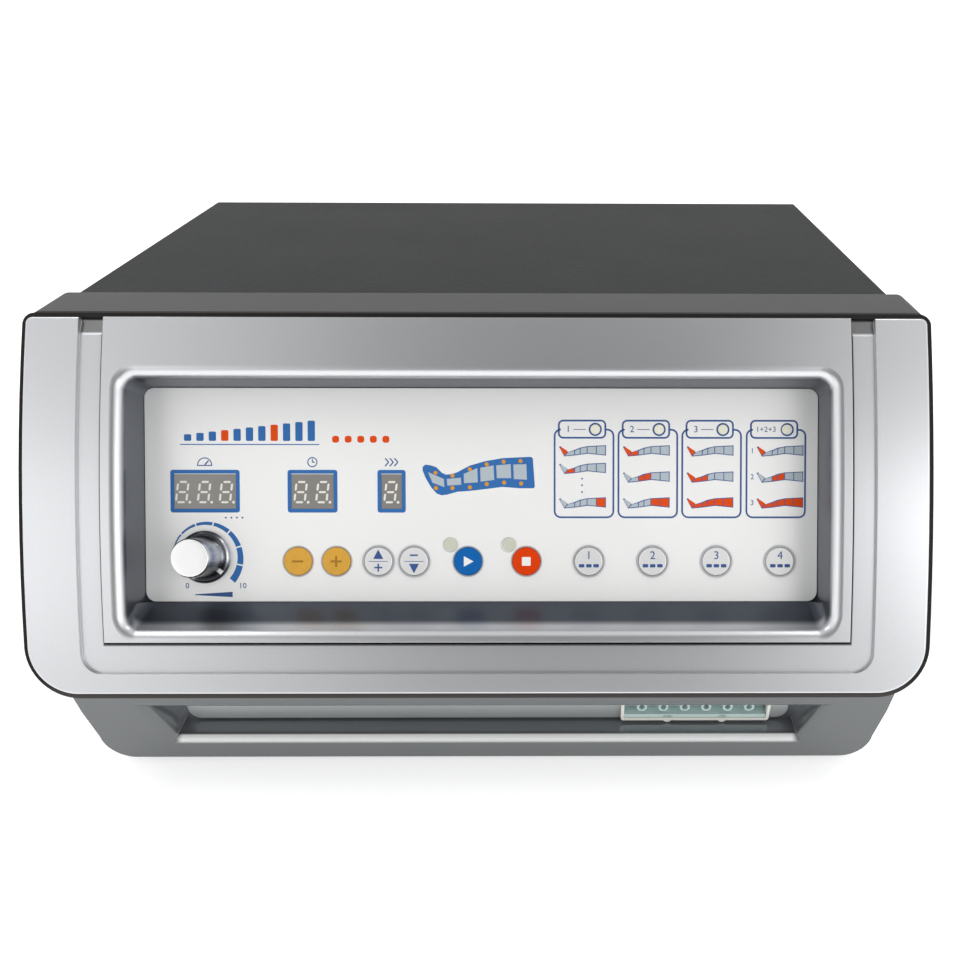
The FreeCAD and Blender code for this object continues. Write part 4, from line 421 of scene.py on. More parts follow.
# one finish per material slot of the record
finishes = {
    "silver_paint": dict(silver, roughness=0.31, spread=0.04, shade="band", shaded=(0.42, 0.42, 0.42)),
    # painted shade: a darker copy of the silver paint for the chin, which lies under the face's overhang
    "silver_paint_dark": dict(silver, colour=(0.44, 0.45, 0.455), roughness=0.2, metallic=0.6, speckle=0.14,
                              shade="trough", shaded=(0.55, 0.56, 0.575)),
    "hood_grey": dict(colour=(0.29, 0.29, 0.295), roughness=0.5, specular=0.25, speckle=0.06, wear=0.4,
                      worn=(0.6, 0.6, 0.6)),
    "dark_trim": dict(colour=(0.12, 0.11, 0.105), roughness=0.5, specular=0.2, speckle=0.06, wear=0.4,
                      worn=(0.3, 0.25, 0.22), shade="trim", shaded=(0.33, 0.32, 0.315)),
    "textured_steel": dict(colour=(0.175, 0.18, 0.185), roughness=0.65, specular=0.2, grain=800, speckle=1.0,
                           bump=0.9, depth=0.0003, wear=0.5, worn=(0.5, 0.5, 0.5)),
    "panel_film": dict(colour=(0.99, 0.99, 0.985), roughness=0.38, metallic=0.12, grain=1800, cloud=0.03,
                       bump=0.04, wear=0.3, worn=(0.97, 0.97, 0.97)),
    "display_lens": dict(colour=(0.54, 0.53, 0.515), roughness=0.12, speckle=0.02, cloud=0.1, mottle=30,
                         bump=0.01, coat=0.5),
    "digit_body": dict(colour=(0.5, 0.5, 0.5)),
    "milky_lens": dict(colour=(0.83, 0.83, 0.77), roughness=0.3, coat=0.2, wear=0.5, worn=(0.66, 0.66, 0.62)),
    "lamp_lens": dict(colour=(0.96, 0.96, 0.88), roughness=0.25, coat=0.2, cloud=0.25, mottle=500),
    "amber_key": dict(colour=(0.87, 0.66, 0.27), specular=0.2, cloud=0.25, mottle=260, speckle=0.1, wear=0.4,
                      worn=(0.95, 0.8, 0.5)),
    "silver_key": dict(colour=(0.96, 0.96, 0.96), roughness=0.3, metallic=0.25, coat=0.1, cloud=0.06,
                       mottle=120, wear=0.4, worn=(0.97, 0.97, 0.97)),
    "blue_key": dict(colour=(0.06, 0.40, 0.70), roughness=0.45, specular=0.15, cloud=0.15, mottle=120,
                     wear=0.4, worn=(0.5, 0.65, 0.9)),
    "red_key": dict(colour=(0.89, 0.25, 0.0), roughness=0.45, specular=0.15, cloud=0.08, mottle=120, wear=0.4,
                    worn=(1.0, 0.6, 0.4)),
    "grey_ring": dict(colour=(0.76, 0.765, 0.78), roughness=0.35, metallic=0.3, speckle=0.08),
    "black_plastic": dict(colour=(0.10, 0.10, 0.105), roughness=0.45, speckle=0.1, wear=0.4,
                          worn=(0.25, 0.25, 0.25)),
    "knob_silver": dict(colour=(0.985, 0.985, 0.985), roughness=0.35, metallic=0.3, cloud=0.06, mottle=60,
                        wear=0.3, worn=(0.97, 0.97, 0.97)),
    "steel": dict(colour=(0.68, 0.68, 0.69), roughness=0.3, metallic=1.0),
    "zinc": dict(colour=(0.66, 0.67, 0.69), roughness=0.38, metallic=1.0, cloud=0.15),
    "circuit_board": dict(colour=(0.08, 0.30, 0.16), roughness=0.35, coat=0.3, cloud=0.12),
    "brass_posts": dict(colour=(0.78, 0.63, 0.34), roughness=0.3, metallic=1.0),
    "panel_plate": dict(colour=(0.72, 0.74, 0.74), roughness=0.3, metallic=0.4, cloud=0.06, wear=0.4,
                        worn=(0.8, 0.8, 0.8)),
    "white_plastic": dict(colour=(0.93, 0.93, 0.90), roughness=0.35, cloud=0.03, wear=0.3,
                          worn=(0.99, 0.99, 0.99)),
    "teal_block": dict(colour=(0.78, 0.86, 0.85), cloud=0.08, mottle=60, wear=0.3, worn=(0.65, 0.72, 0.7)),
    "zinc_screws": dict(colour=(0.72, 0.72, 0.73), roughness=0.3, metallic=1.0, cloud=0.1, mottle=300),
    "foot_rubber": dict(colour=(0.08, 0.08, 0.08), roughness=0.8, speckle=0.2, bump=0.3),
    "chrome_wire": dict(colour=(0.82, 0.82, 0.83), roughness=0.14, metallic=1.0),
    "rocker_black": dict(colour=(0.07, 0.07, 0.075), roughness=0.25, coat=0.3, wear=0.3,
                         worn=(0.2, 0.2, 0.2)),
    "cast_alloy": dict(colour=(0.60, 0.61, 0.62), roughness=0.5, metallic=0.9, grain=900, speckle=0.2,
                       bump=0.4, depth=0.0001),
    "copper_winding": dict(colour=(0.72, 0.40, 0.24), roughness=0.3, metallic=1.0),
    "silicone_tube": dict(colour=(0.80, 0.83, 0.84), roughness=0.3, coat=0.2),
    # pieces that share a slot with another finish
    "bezel_silver": dict(silver, roughness=0.30, spread=0.03, shade="recess", shaded=(0.30, 0.32, 0.355)),
    # painted reflection: light and dark bands over the knob's chrome colour
    "knob_chrome": dict(colour=(0.74, 0.75, 0.77), roughness=0.22, metallic=0.9, cloud=0.04, shade="chrome",
                        shaded=(0.24, 0.245, 0.26)),
}
materials = {name: finishMaterial(name, **settings) for name, settings in finishes.items()}
ownFinish = {"inner_bezel": "bezel_silver"}


def dressNodes():
    for name, part in nodes.items():
        for place in part.material_slots:
            wanted = ownFinish.get(name, place.material.name.split(".")[0] if place.material else "")
            if wanted in materials:
                place.material = materials[wanted]
            else:
                print("no finish for", name, wanted)


dressNodes()
print("nodes dressed:", len(nodes))

weld = 0.0001 * mm
cornerSteps = 5                  # straight lines in a quarter round
smallRound = 0.1 * mm            # least radius of a corner


def takePiece(name, shape, finish, body="housing", place=None):
    bmesh.ops.remove_doubles(shape, verts=shape.verts, dist=weld)
    bmesh.ops.recalc_face_normals(shape, faces=shape.faces)
    if place:
        bmesh.ops.transform(shape, matrix=place, verts=shape.verts)
    mesh = bpy.data.meshes.new(name)
    shape.to_mesh(mesh)
    shape.free()
    piece = bpy.data.objects.new(name, mesh)
    scene.collection.objects.link(piece)
    mesh.materials.append(materials[finish] if finish in materials else inks[finish])
    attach(piece, body)
    return piece


def raiseFaces(shape, faces, height):
    grown = bmesh.ops.extrude_face_region(shape, geom=faces)
    bmesh.ops.translate(shape, verts=[v for v in grown["geom"] if isinstance(v, bmesh.types.BMVert)],
                        vec=(0, 0, height))


def loopPoints(width, height, radius, steps=cornerSteps):
    # corner points of a rounded rectangle round the origin
    points = []
    for turn, (sx, sy) in enumerate(((1, 1), (-1, 1), (-1, -1), (1, -1))):
        for step in range(steps + 1):
            angle = math.radians(90 * turn + 90 * step / steps)
            points.append((sx * (width / 2 - radius) + radius * math.cos(angle),
                           sy * (height / 2 - radius) + radius * math.sin(angle)))
    return points


def circlePoints(radius, steps=40, start=0.0, sweep=360.0):
    count = steps if sweep == 360 else steps + 1
    return [(radius * math.cos(math.radians(start + sweep * k / steps)),
             radius * math.sin(math.radians(start + sweep * k / steps))) for k in range(count)]


def printPatch(shape, points, centre=(0, 0), base=console["panelTop"], height=console["ink"]):
    # a filled outline, raised a little
    corners = [shape.verts.new((x + centre[0], y + centre[1], base)) for x, y in points]
    raiseFaces(shape, [shape.faces.new(corners)], height)


def printRing(shape, outer, inner, centre=(0, 0), base=console["panelTop"], height=console["ink"]):
    # the band between two outlines with as many points each
    rims = []
    for points in (outer, inner):
        corners = [shape.verts.new((x + centre[0], y + centre[1], base)) for x, y in points]
        rims += [shape.edges.new((a, b)) for a, b in zip(corners, corners[1:] + corners[:1])]
    band = bmesh.ops.bridge_loops(shape, edges=rims)["faces"]
    raiseFaces(shape, band, height)


def printFrame(shape, width, height, radius, line, centre):
    printRing(shape, loopPoints(width, height, radius),
              loopPoints(width - 2 * line, height - 2 * line, max(radius - line, smallRound)), centre)


def printHoop(shape, radius, line, steps, centre):
    printRing(shape, circlePoints(radius, steps), circlePoints(radius - line, steps), centre)


def printBar(shape, start, end, line, base=console["panelTop"], height=console["ink"]):
    # a straight line of even width between two points
    first, last = Vector(start), Vector(end)
    aside = (last - first).normalized().orthogonal() * line / 2
    printPatch(shape, [tuple(first - aside), tuple(last - aside), tuple(last + aside), tuple(first + aside)],
               base=base, height=height)


def printNumber(shape, text, size, centre, base=console["panelTop"], height=console["ink"]):
    # a plain number, made mesh from the built-in type
    curve = bpy.data.curves.new("number", "FONT")
    curve.body = text
    curve.size = size
    curve.align_x, curve.align_y = "CENTER", "CENTER"
    curve.extrude = height / 2
    curve.resolution_u = 3
    holder = bpy.data.objects.new("number", curve)
    scene.collection.objects.link(holder)
    bpy.context.view_layer.update()
    mesh = bpy.data.meshes.new_from_object(holder.evaluated_get(bpy.context.evaluated_depsgraph_get()))
    mesh.transform(Matrix.Translation((centre[0], centre[1], base + height / 2)))
    shape.from_mesh(mesh)
    bpy.data.objects.remove(holder)
    bpy.data.curves.remove(curve)
    bpy.data.meshes.remove(mesh)


def inkMaterial(name, colour):
    return finishMaterial(name, colour, roughness=0.5, specular=0.15, speckle=0.06, cloud=0.06, mottle=80,
                          bump=0.03, softEdge=0)


inks = {name: inkMaterial(name, colour) for name, colour in {
    "blueInk": (0.22, 0.44, 0.70),
    "navyInk": (0.24, 0.36, 0.58),
    "orangeInk": (0.90, 0.31, 0.06),
    "amberInk": (0.85, 0.60, 0.20),
    "darkAmberInk": (0.66, 0.47, 0.18),
    "greyInk": (0.72, 0.76, 0.79),
    "paleInk": (0.76, 0.77, 0.78),
    "whiteInk": (0.96, 0.96, 0.95),
    "digitInk": (0.93, 0.92, 0.88),
}.items()}


def printPiece(name, shape, ink, body="housing"):
    piece = takePiece(name, shape, ink, body, consoleMatrix())
    return piece


displays = {
    "row": 91.4 * mm,
    "frameHeight": 19.4 * mm, "frameLine": 1.7 * mm, "frameRound": 1.2 * mm,
    "windows": ((-125.9, 31.4, 3), (-77.2, 22.6, 2), (-41.3, 12.8, 1)),      # middle, width, digits
    "digitPitch": 9.9 * mm, "digitHeight": 9.2 * mm, "digitWidth": 4.7 * mm,
    "digitShift": (-0.5 * mm, -0.4 * mm),
    "barWidth": 0.95 * mm, "barShort": 1.2,      # bar widths that a bar's end keeps from its corner
    "slant": 0.12, "point": 0.65 * mm, "pointGap": 1.6 * mm,
}


def makeDisplays():
    frames, digits = bmesh.new(), bmesh.new()
    for centre, width, count in displays["windows"]:
        printFrame(frames, width * mm, displays["frameHeight"], displays["frameRound"], displays["frameLine"],
                   (centre * mm, displays["row"]))
        for index in range(count):
            middle = centre * mm + (index - (count - 1) / 2) * displays["digitPitch"]
            addDigit(digits, middle + displays["digitShift"][0], displays["row"] + displays["digitShift"][1])
    printPiece("display_frames", frames, "blueInk")
    printPiece("display_digits", digits, "digitInk")


def addDigit(shape, x, y):
    # seven bars with pointed ends and a decimal point, leaning a little
    half, reach, bar = displays["digitHeight"] / 2, displays["digitWidth"] / 2, displays["barWidth"] / 2
    wide, tall = reach - bar * displays["barShort"], half / 2 - bar * displays["barShort"]
    bars = [((0, half * k), 0, wide) for k in (1, 0, -1)]
    bars += [((side * reach, half / 2 * k), 90, tall) for side in (-1, 1) for k in (-1, 1)]
    for (cx, cy), turn, length in bars:
        outline = [(length, 0), (length - bar, bar), (bar - length, bar), (-length, 0), (bar - length, -bar),
                   (length - bar, -bar)]
        if turn:
            outline = [(-b, a) for a, b in outline]
        points = [(cx + a + displays["slant"] * (cy + b), cy + b) for a, b in outline]
        printPatch(shape, points, (x, y), console["windowTop"])
    aside = reach + displays["pointGap"] - displays["slant"] * half
    printPatch(shape, circlePoints(displays["point"], 12), (x + aside, y - half), console["windowTop"])


signs = {
    "line": 0.45 * mm,
    "gauge": (-126.0 * mm, 103.3 * mm), "gaugeRadius": 3.4 * mm, "hand": (1.7 * mm, 1.9 * mm),
    "handWidth": 1.3,            # in widths of a line, like the arrows'
    "clock": (-77.2 * mm, 104.6 * mm), "clockRadius": 2.3 * mm, "clockHands": ((0, 1.5 * mm), (1.1 * mm, 0)),
    "arrows": (-41.3 * mm, 104.6 * mm), "arrowPitch": 2.1 * mm, "arrowHalf": (0.8 * mm, 1.8 * mm),
    "arrowWidth": 1.2,
    "dots": (-116.6 * mm, 79.4 * mm), "dotPitch": 2.5 * mm, "dotRadius": 0.42 * mm,
}


def makeSigns():
    # a gauge, a clock and a row of arrowheads above the displays, and dots below
    shape = bmesh.new()
    line, radius = signs["line"], signs["gaugeRadius"]
    x, y = signs["gauge"]
    arcs = [circlePoints(size, 20, 0, 180) for size in (radius, radius - line)]
    printPatch(shape, arcs[0] + arcs[1][::-1], (x, y))
    printBar(shape, (x - radius, y - line / 2), (x + radius, y - line / 2), line)
    printBar(shape, (x, y), (x + signs["hand"][0], y + signs["hand"][1]), line * signs["handWidth"])
    x, y = signs["clock"]
    printHoop(shape, signs["clockRadius"], line, 32, (x, y))
    for across, up in signs["clockHands"]:
        printBar(shape, (x, y), (x + across, y + up), line)
    wide, tall = signs["arrowHalf"]
    for step in (-1, 0, 1):
        x, y = signs["arrows"][0] + step * signs["arrowPitch"], signs["arrows"][1]
        for side in (-1, 1):
            printBar(shape, (x - wide, y + side * tall), (x + wide, y), line * signs["arrowWidth"])
    for dot in range(4):
        printPatch(shape, circlePoints(signs["dotRadius"], 12),
                   (signs["dots"][0] + dot * signs["dotPitch"], signs["dots"][1]))
    printPiece("display_signs", shape, "navyInk")


stripes = {
    "first": -133.6 * mm, "pitch": 5.6 * mm, "foot": 114.2 * mm, "count": 11, "orange": (3, 7),
    "wide": 3.3 * mm, "lowest": 3.0 * mm, "rise": 0.62 * mm, "round": 0.6 * mm,
    "line": ((-137 * mm, 112.6 * mm), (-74 * mm, 112.6 * mm)), "lineWidth": 0.45 * mm,
    "dots": (-66.6 * mm, 115.0 * mm), "dotPitch": 5.7 * mm, "dotSize": 3.1 * mm, "dotRound": 1.1 * mm,
}


def makeStripes():
    # plain rising bars over a line, and a row of dots beside them
    blue, orange = bmesh.new(), bmesh.new()
    for index in range(stripes["count"]):
        tall = stripes["lowest"] + index * stripes["rise"]
        centre = (stripes["first"] + index * stripes["pitch"], stripes["foot"] + tall / 2)
        printPatch(orange if index in stripes["orange"] else blue,
                   loopPoints(stripes["wide"], tall, stripes["round"]), centre)
    printBar(blue, *stripes["line"], stripes["lineWidth"])
    for dot in range(5):
        printPatch(orange, loopPoints(stripes["dotSize"], stripes["dotSize"], stripes["dotRound"]),
                   (stripes["dots"][0] + dot * stripes["dotPitch"], stripes["dots"][1]))
    printPiece("panel_bars_blue", blue, "blueInk")
    printPiece("panel_bars_orange", orange, "orangeInk")


makeDisplays()
makeSigns()
makeStripes()

dial = {
    "centre": (-126.0 * mm, 61.5 * mm),
    "inner": 14.6 * mm,
    "thick": (0.4 * mm, 3.2 * mm),        # at the low and the high end
    "from": 165.0, "to": -44.0, "gap": 2.4, "segments": 7, "steps": 8,
    "marks": (("0", (-134.3 * mm, 48.3 * mm)), ("10", (-109.2 * mm, 48.3 * mm))), "markSize": 3.6 * mm,
    "wedge": ((-8.5 * mm, -0.3 * mm), (8.5 * mm, -1.2 * mm), (8.5 * mm, 1.2 * mm), (-8.5 * mm, 0.1 * mm)),
    "wedgeCentre": (-122.3 * mm, 44.4 * mm),
}


def makeDial():
    # a band in segments, growing from thin to thick, with a number at each end and a wedge below
    shape = bmesh.new()
    sweep = dial["to"] - dial["from"]
    each = sweep / dial["segments"]
    for index in range(dial["segments"]):
        start = dial["from"] + index * each
        end = start + each + dial["gap"]
        inner, outer = [], []
        for step in range(dial["steps"] + 1):
            angle = start + (end - start) * step / dial["steps"]
            share = (angle - dial["from"]) / sweep
            thick = dial["thick"][0] + share * (dial["thick"][1] - dial["thick"][0])
            away = Vector((math.cos(math.radians(angle)), math.sin(math.radians(angle))))
            inner.append(tuple(away * dial["inner"]))
            outer.append(tuple(away * (dial["inner"] + thick)))
        printPatch(shape, outer + inner[::-1], dial["centre"])
    printPiece("dial_scale", shape, "blueInk")
    marks = bmesh.new()
    for text, centre in dial["marks"]:
        printNumber(marks, text, dial["markSize"], centre)
    printPatch(marks, dial["wedge"], dial["wedgeCentre"])
    printPiece("dial_marks", marks, "navyInk")


makeDial()

# a leg sleeve seen from the side, toe at the left
sleeve = {
    "outline": ((-25.9, 103.5), (-23.8, 103.3), (-21.0, 102.4), (-18.4, 99.8), (-16.6, 99.0), (-14.0, 99.2),
                (-11.4, 100.1), (-5.7, 103.1), (1.1, 105.1), (9.1, 106.5), (17.0, 106.9), (22.2, 107.1),
                (23.0, 106.4), (23.9, 93.6), (23.4, 92.8), (17.0, 92.8), (9.1, 93.4), (0.5, 92.3),
                (-5.7, 91.6), (-11.4, 91.2), (-16.0, 89.9), (-18.6, 89.6), (-20.7, 90.3), (-23.3, 93.1),
                (-25.9, 97.6), (-27.2, 101.0), (-27.1, 102.6)),
    "chambers": (((-24.7, 100.1), (-17.5, 97.0), (-17.3, 93.3), (-22.7, 95.3)),
                 ((-16.2, 97.0), (-9.8, 97.6), (-9.6, 94.4), (-15.9, 94.0)),
                 ((-8.5, 99.3), (-2.3, 102.0), (-2.1, 95.5), (-8.3, 95.1)),
                 ((-1.0, 102.1), (5.1, 103.2), (5.4, 96.6), (-0.8, 95.8)),
                 ((6.3, 103.2), (12.9, 103.8), (13.1, 97.4), (6.6, 97.4)),
                 ((14.1, 103.6), (20.0, 103.8), (20.3, 96.7), (14.3, 97.0))),
    "dots": ((-21.3, 99.8), (-13.6, 98.5), (-5.7, 101.4), (2.0, 103.7), (9.7, 104.9), (17.4, 105.2),
             (-21.1, 92.9), (-13.6, 92.9), (-5.7, 93.2), (2.0, 94.7), (9.9, 95.4), (17.7, 95.0)),
    "dotRadius": 0.95 * mm,
    "halo": 0.9,         # width of the white border, in millimetres
    "heights": (0.03 * mm, 0.06 * mm, 0.09 * mm, 0.12 * mm),     # border, cloth, chambers and dots
}


def makeSleeve():
    border, cloth, chambers, dots = shapes = [bmesh.new() for _ in sleeve["heights"]]
    low, middle, high, highest = sleeve["heights"]
    outline = [Vector(point) for point in sleeve["outline"]]
    grown = []
    for index, point in enumerate(outline):
        step = outline[(index + 1) % len(outline)] - outline[index - 1]
        aside = Vector((-step.y, step.x)).normalized()
        grown.append(tuple((point + aside * sleeve["halo"]) * mm))
    printPatch(border, grown, height=low)
    printPatch(cloth, [tuple(point * mm) for point in outline], height=middle)
    for corners in sleeve["chambers"]:
        printPatch(chambers, [(x * mm, y * mm) for x, y in corners], height=high)
    for x, y in sleeve["dots"]:
        printPatch(dots, circlePoints(sleeve["dotRadius"], 16), (x * mm, y * mm), height=highest)
    names = ("sleeve_border", "sleeve_cloth", "sleeve_chambers", "sleeve_dots")
    for name, shape, ink in zip(names, shapes, ("whiteInk", "blueInk", "greyInk", "amberInk")):
        printPiece(name, shape, ink)


makeSleeve()

modes = {
    "centres": (46.3, 75.4, 104.5, 133.9),
    "width": 27.6 * mm, "bottom": 79.2 * mm, "top": 119.9 * mm, "line": 0.8 * mm, "round": 3.2 * mm,
    "tabShift": -0.9 * mm, "tabWidth": 22.0 * mm, "tabBottom": 115.4 * mm, "tabTop": 124.0 * mm,
    "tabRound": 2.4 * mm,
    "heading": 119.6 * mm, "lampShift": 5.1 * mm, "lampRing": 3.0 * mm, "lampLine": 0.75 * mm,
    "number": (-7.2 * mm, 4.2 * mm), "sum": (-4.6 * mm, 3.5 * mm),      # shift from the middle and size
    "dash": (-4.8 * mm, 0.8 * mm), "dashLine": 0.3 * mm,
    "legLength": 21.0 * mm, "legShift": -11.2 * mm, "lastShift": 2.6 * mm,
    "rowNumber": (-2.2 * mm, 2.4 * mm), "rowNumberSize": 3.4 * mm,
    "outline": 0.2 * mm, "seam": -0.2 * mm, "legHeights": (0.04 * mm, 0.08 * mm),
    "dots": ((45.4 * mm, 97.2 * mm), (45.4 * mm, 94.2 * mm), (45.4 * mm, 91.1 * mm)), "dotRadius": 0.42 * mm,
}
# rows of each box: height of the heel and the lit chambers, counted from the toe
legRows = (((107.5, (0,)), (99.5, (1,)), (83.8, (5,))),
           ((107.5, (0, 1)), (95.6, (2, 3)), (83.8, (4, 5))),
           ((107.5, (0,)), (95.6, (0, 1, 2)), (83.8, (0, 1, 2, 3, 4, 5))),
           ((107.5, (0,)), (95.6, (2, 3)), (83.8, (0, 1, 2, 3, 4, 5))))
# the leg's seams from toe to thigh, in shares of its length: lower and upper end
legSeams = (((0.0, 0.19), (0.03, 0.205)), ((0.115, 0.0), (0.19, 0.095)), ((0.33, 0.02), (0.33, 0.12)),
            ((0.45, 0.035), (0.45, 0.17)), ((0.60, 0.06), (0.60, 0.205)), ((0.80, 0.04), (0.80, 0.215)),
            ((1.0, 0.02), (1.0, 0.225)))


def legPoints(indices, grow):
    # outline of a run of chambers, grown outwards a little
    lows = [Vector(legSeams[k][0]) * modes["legLength"] for k in indices]
    highs = [Vector(legSeams[k][1]) * modes["legLength"] for k in indices]
    points = lows + highs[::-1]
    middle = sum(points, Vector((0, 0))) / len(points)
    return [tuple(p + grow * Vector((math.copysign(1, (p - middle).x), math.copysign(1, (p - middle).y))))
            for p in points]


def makeModes():
    # four boxes with a tab, a lamp's ring and rows of legs; the last box sums up the others
    lines, under, plain, lit = (bmesh.new() for _ in range(4))
    heading, (low, high) = modes["heading"], modes["legHeights"]
    for index, centre in enumerate(modes["centres"]):
        centre *= mm
        last = index == len(modes["centres"]) - 1
        addTabbedBox(lines, centre, (modes["top"] + modes["bottom"]) / 2, modes["top"] - modes["bottom"])
        printHoop(lines, modes["lampRing"], modes["lampLine"], 32, (centre + modes["lampShift"], heading))
        shift, size = modes["sum" if last else "number"]
        printNumber(lines, "1+2+3" if last else str(index + 1), size, (centre + shift, heading))
        if not last:
            printBar(lines, *((centre + end, heading) for end in modes["dash"]), modes["dashLine"])
        for row, (heel, marked) in enumerate(legRows[index]):
            x, y = centre + modes["legShift"], heel * mm
            if last:
                x += modes["lastShift"]
                aside, up = modes["rowNumber"]
                printNumber(lines, str(row + 1), modes["rowNumberSize"], (x + aside, y + up))
            printPatch(under, legPoints(range(7), modes["outline"]), (x, y), height=low)
            for chamber in range(6):
                printPatch(lit if chamber in marked else plain,
                           legPoints((chamber, chamber + 1), modes["seam"]), (x, y), height=high)
    for dot in modes["dots"]:
        printPatch(lines, circlePoints(modes["dotRadius"], 12), dot)
    for name, shape, ink in (("mode_outlines", lines, "navyInk"), ("mode_leg_lines", under, "navyInk"),
                             ("mode_legs", plain, "greyInk"), ("mode_lit_legs", lit, "orangeInk")):
        printPiece(name, shape, ink)


def addTabbedBox(shape, centre, middle, tall):
    # a rounded box whose upper side is cut by its tab
    line, half, radius = modes["line"], modes["width"] / 2, modes["round"]
    tabHalf, tabX = modes["tabWidth"] / 2, centre + modes["tabShift"]
    box = loopPoints(modes["width"], tall, radius)
    inside = loopPoints(modes["width"] - 2 * line, tall - 2 * line, radius - line)
    cut = cornerSteps + 1     # points of the first corner, which starts at the right side
    right, left = tabX + tabHalf - centre, tabX - tabHalf - centre
    outer = [(right, tall / 2)] + box[cut - 1::-1] + box[:cut - 1:-1] + [(left, tall / 2)]
    inner = [(right, tall / 2 - line)] + inside[cut - 1::-1] + inside[:cut - 1:-1] + [(left, tall / 2 - line)]
    corners = [shape.verts.new((x + centre, y + middle, console["panelTop"])) for x, y in outer + inner]
    count = len(outer)
    faces = [shape.faces.new((corners[k], corners[k + 1], corners[count + k + 1], corners[count + k]))
             for k in range(count - 1)]
    raiseFaces(shape, faces, console["ink"])
    printFrame(shape, modes["tabWidth"], modes["tabTop"] - modes["tabBottom"], modes["tabRound"], line,
               (tabX, (modes["tabTop"] + modes["tabBottom"]) / 2))


makeModes()

# place along the row, ink and sign of each key; the sign rides with the key
keyPrints = {
    "amber_key_left": (-83.9, "darkAmberInk", "minus"), "amber_key_right": (-66.4, "darkAmberInk", "plus"),
    "up_key": (-47.3, "navyInk", "up"), "down_key": (-31.1, "navyInk", "down"),
    "start_key": (-6.6, "whiteInk", "go"), "stop_key": (20.0, "whiteInk", "halt"),
    "mode_key_1": (48.5, "navyInk", "1"), "mode_key_2": (77.6, "navyInk", "2"),
    "mode_key_3": (106.7, "navyInk", "3"), "mode_key_4": (135.8, "navyInk", "4"),
}
keySigns = {
    # in millimetres: corners of a patch, and bars as both ends and a width
    "patches": {"up": ((-2.3, 1.1), (2.3, 1.1), (0, 5.4)), "down": ((0, -5.4), (2.3, -1.1), (-2.3, -1.1)),
                "go": ((-1.8, -2.4), (2.6, 0), (-1.8, 2.4))},
    "bars": {"minus": (((-2.5, 0), (2.5, 0), 0.9),),
             "plus": (((-2.5, 0), (2.5, 0), 0.9), ((0, -2.5), (0, -0.45), 0.9), ((0, 0.45), (0, 2.5), 0.9)),
             "up": (((-4.3, 0), (4.3, 0), 0.25), ((-1.8, -2.8), (1.8, -2.8), 0.7),
                    ((0, -4.6), (0, -3.15), 0.7), ((0, -2.45), (0, -1.0), 0.7)),
             "down": (((-4.3, 0), (4.3, 0), 0.25), ((-1.8, 2.8), (1.8, 2.8), 0.7))},
    "halt": (4.0 * mm, 4.0 * mm, 0.4 * mm),
    "number": 5.2 * mm, "numberRise": 2.6 * mm,
    "dash": (2.5 * mm, 1.5 * mm, 0.4 * mm), "dashPitch": 3.3 * mm, "dashRise": -2.0 * mm,
}


def makeKeyPrints():
    top = console["keyTop"]
    for name, (x, ink, sign) in keyPrints.items():
        shape = bmesh.new()
        x, y = x * mm, console["keyRow"]
        if sign in keySigns["patches"]:
            printPatch(shape, [(a * mm, b * mm) for a, b in keySigns["patches"][sign]], (x, y), top)
        for *ends, line in keySigns["bars"].get(sign, ()):
            printBar(shape, *((x + a * mm, y + b * mm) for a, b in ends), line * mm, top)
        if sign == "halt":
            printPatch(shape, loopPoints(*keySigns["halt"]), (x, y), top)
        if sign.isdigit():
            printNumber(shape, sign, keySigns["number"], (x, y + keySigns["numberRise"]), top)
            for step in (-1, 0, 1):
                printPatch(shape, loopPoints(*keySigns["dash"]),
                           (x + step * keySigns["dashPitch"], y + keySigns["dashRise"]), top)
        printPiece(name + "_sign", shape, ink, name)


makeKeyPrints()

keyHalos = {
    # radius, width of the line, steps, row and places along it
    "keys": (7.2 * mm, 0.58 * mm, 48, console["keyRow"], (-83.9, -66.4, -6.6, 20.0)),
    "lamps": (3.45 * mm, 0.3 * mm, 32, 67.0 * mm, (-14.7, 11.7)),
}


def makeKeyHalos():
    # a pale printed ring round each key that has no collar, and round the two lamps beside them
    shape = bmesh.new()
    for radius, line, steps, row, places in keyHalos.values():
        for x in places:
            printHoop(shape, radius, line, steps, (x * mm, row))
    printPiece("key_halos", shape, "paleInk")


makeKeyHalos()
print("panel printed")

# skirt, turned wall and satin top as radius and rise in millimetres, and the pointer
knob = {
    "centre": dial["centre"], "base": -16.4 * mm,
    "skirt": ((4.2, 0.0), (11.9, 0.0), (12.0, 0.5), (11.7, 1.5), (10.9, 2.2), (9.9, 2.4), (9.5, 2.3)),
    "wall": ((9.5, 2.2), (9.3, 3.2), (9.15, 4.0), (8.85, 9.5), (8.65, 14.9), (8.6, 15.6), (8.35, 16.0),
             (8.1, 16.0)),
    "top": ((8.2, 15.9), (8.05, 16.2), (7.7, 16.35), (7.2, 16.4), (4.0, 16.4), (0.0, 16.4)),
    "steps": 72, "weld": 0.001 * mm,
    "pointerTurn": -39.0, "pointerAt": (9.9 * mm, 0, 1.9 * mm),
    "pointerSize": (2.6 * mm, 1.8 * mm), "pointerTall": 1.6 * mm, "pointerRound": 0.35 * mm,
}


def knobPlace():
    return consoleMatrix() @ Matrix.Translation((*knob["centre"], knob["base"]))


def spinPiece(name, profile, finish):
    shape = bmesh.new()
    corners = [shape.verts.new((radius * mm, 0, rise * mm)) for radius, rise in profile]
    edges = [shape.edges.new(pair) for pair in zip(corners, corners[1:])]
    bmesh.ops.spin(shape, geom=corners + edges, axis=(0, 0, 1), cent=(0, 0, 0), angle=math.tau,
                   steps=knob["steps"], use_merge=True, use_duplicate=False)
    bmesh.ops.remove_doubles(shape, verts=shape.verts, dist=knob["weld"])
    for face in shape.faces:
        face.smooth = True
    piece = takePiece(name, shape, finish, "pressure_knob", knobPlace())
    return piece


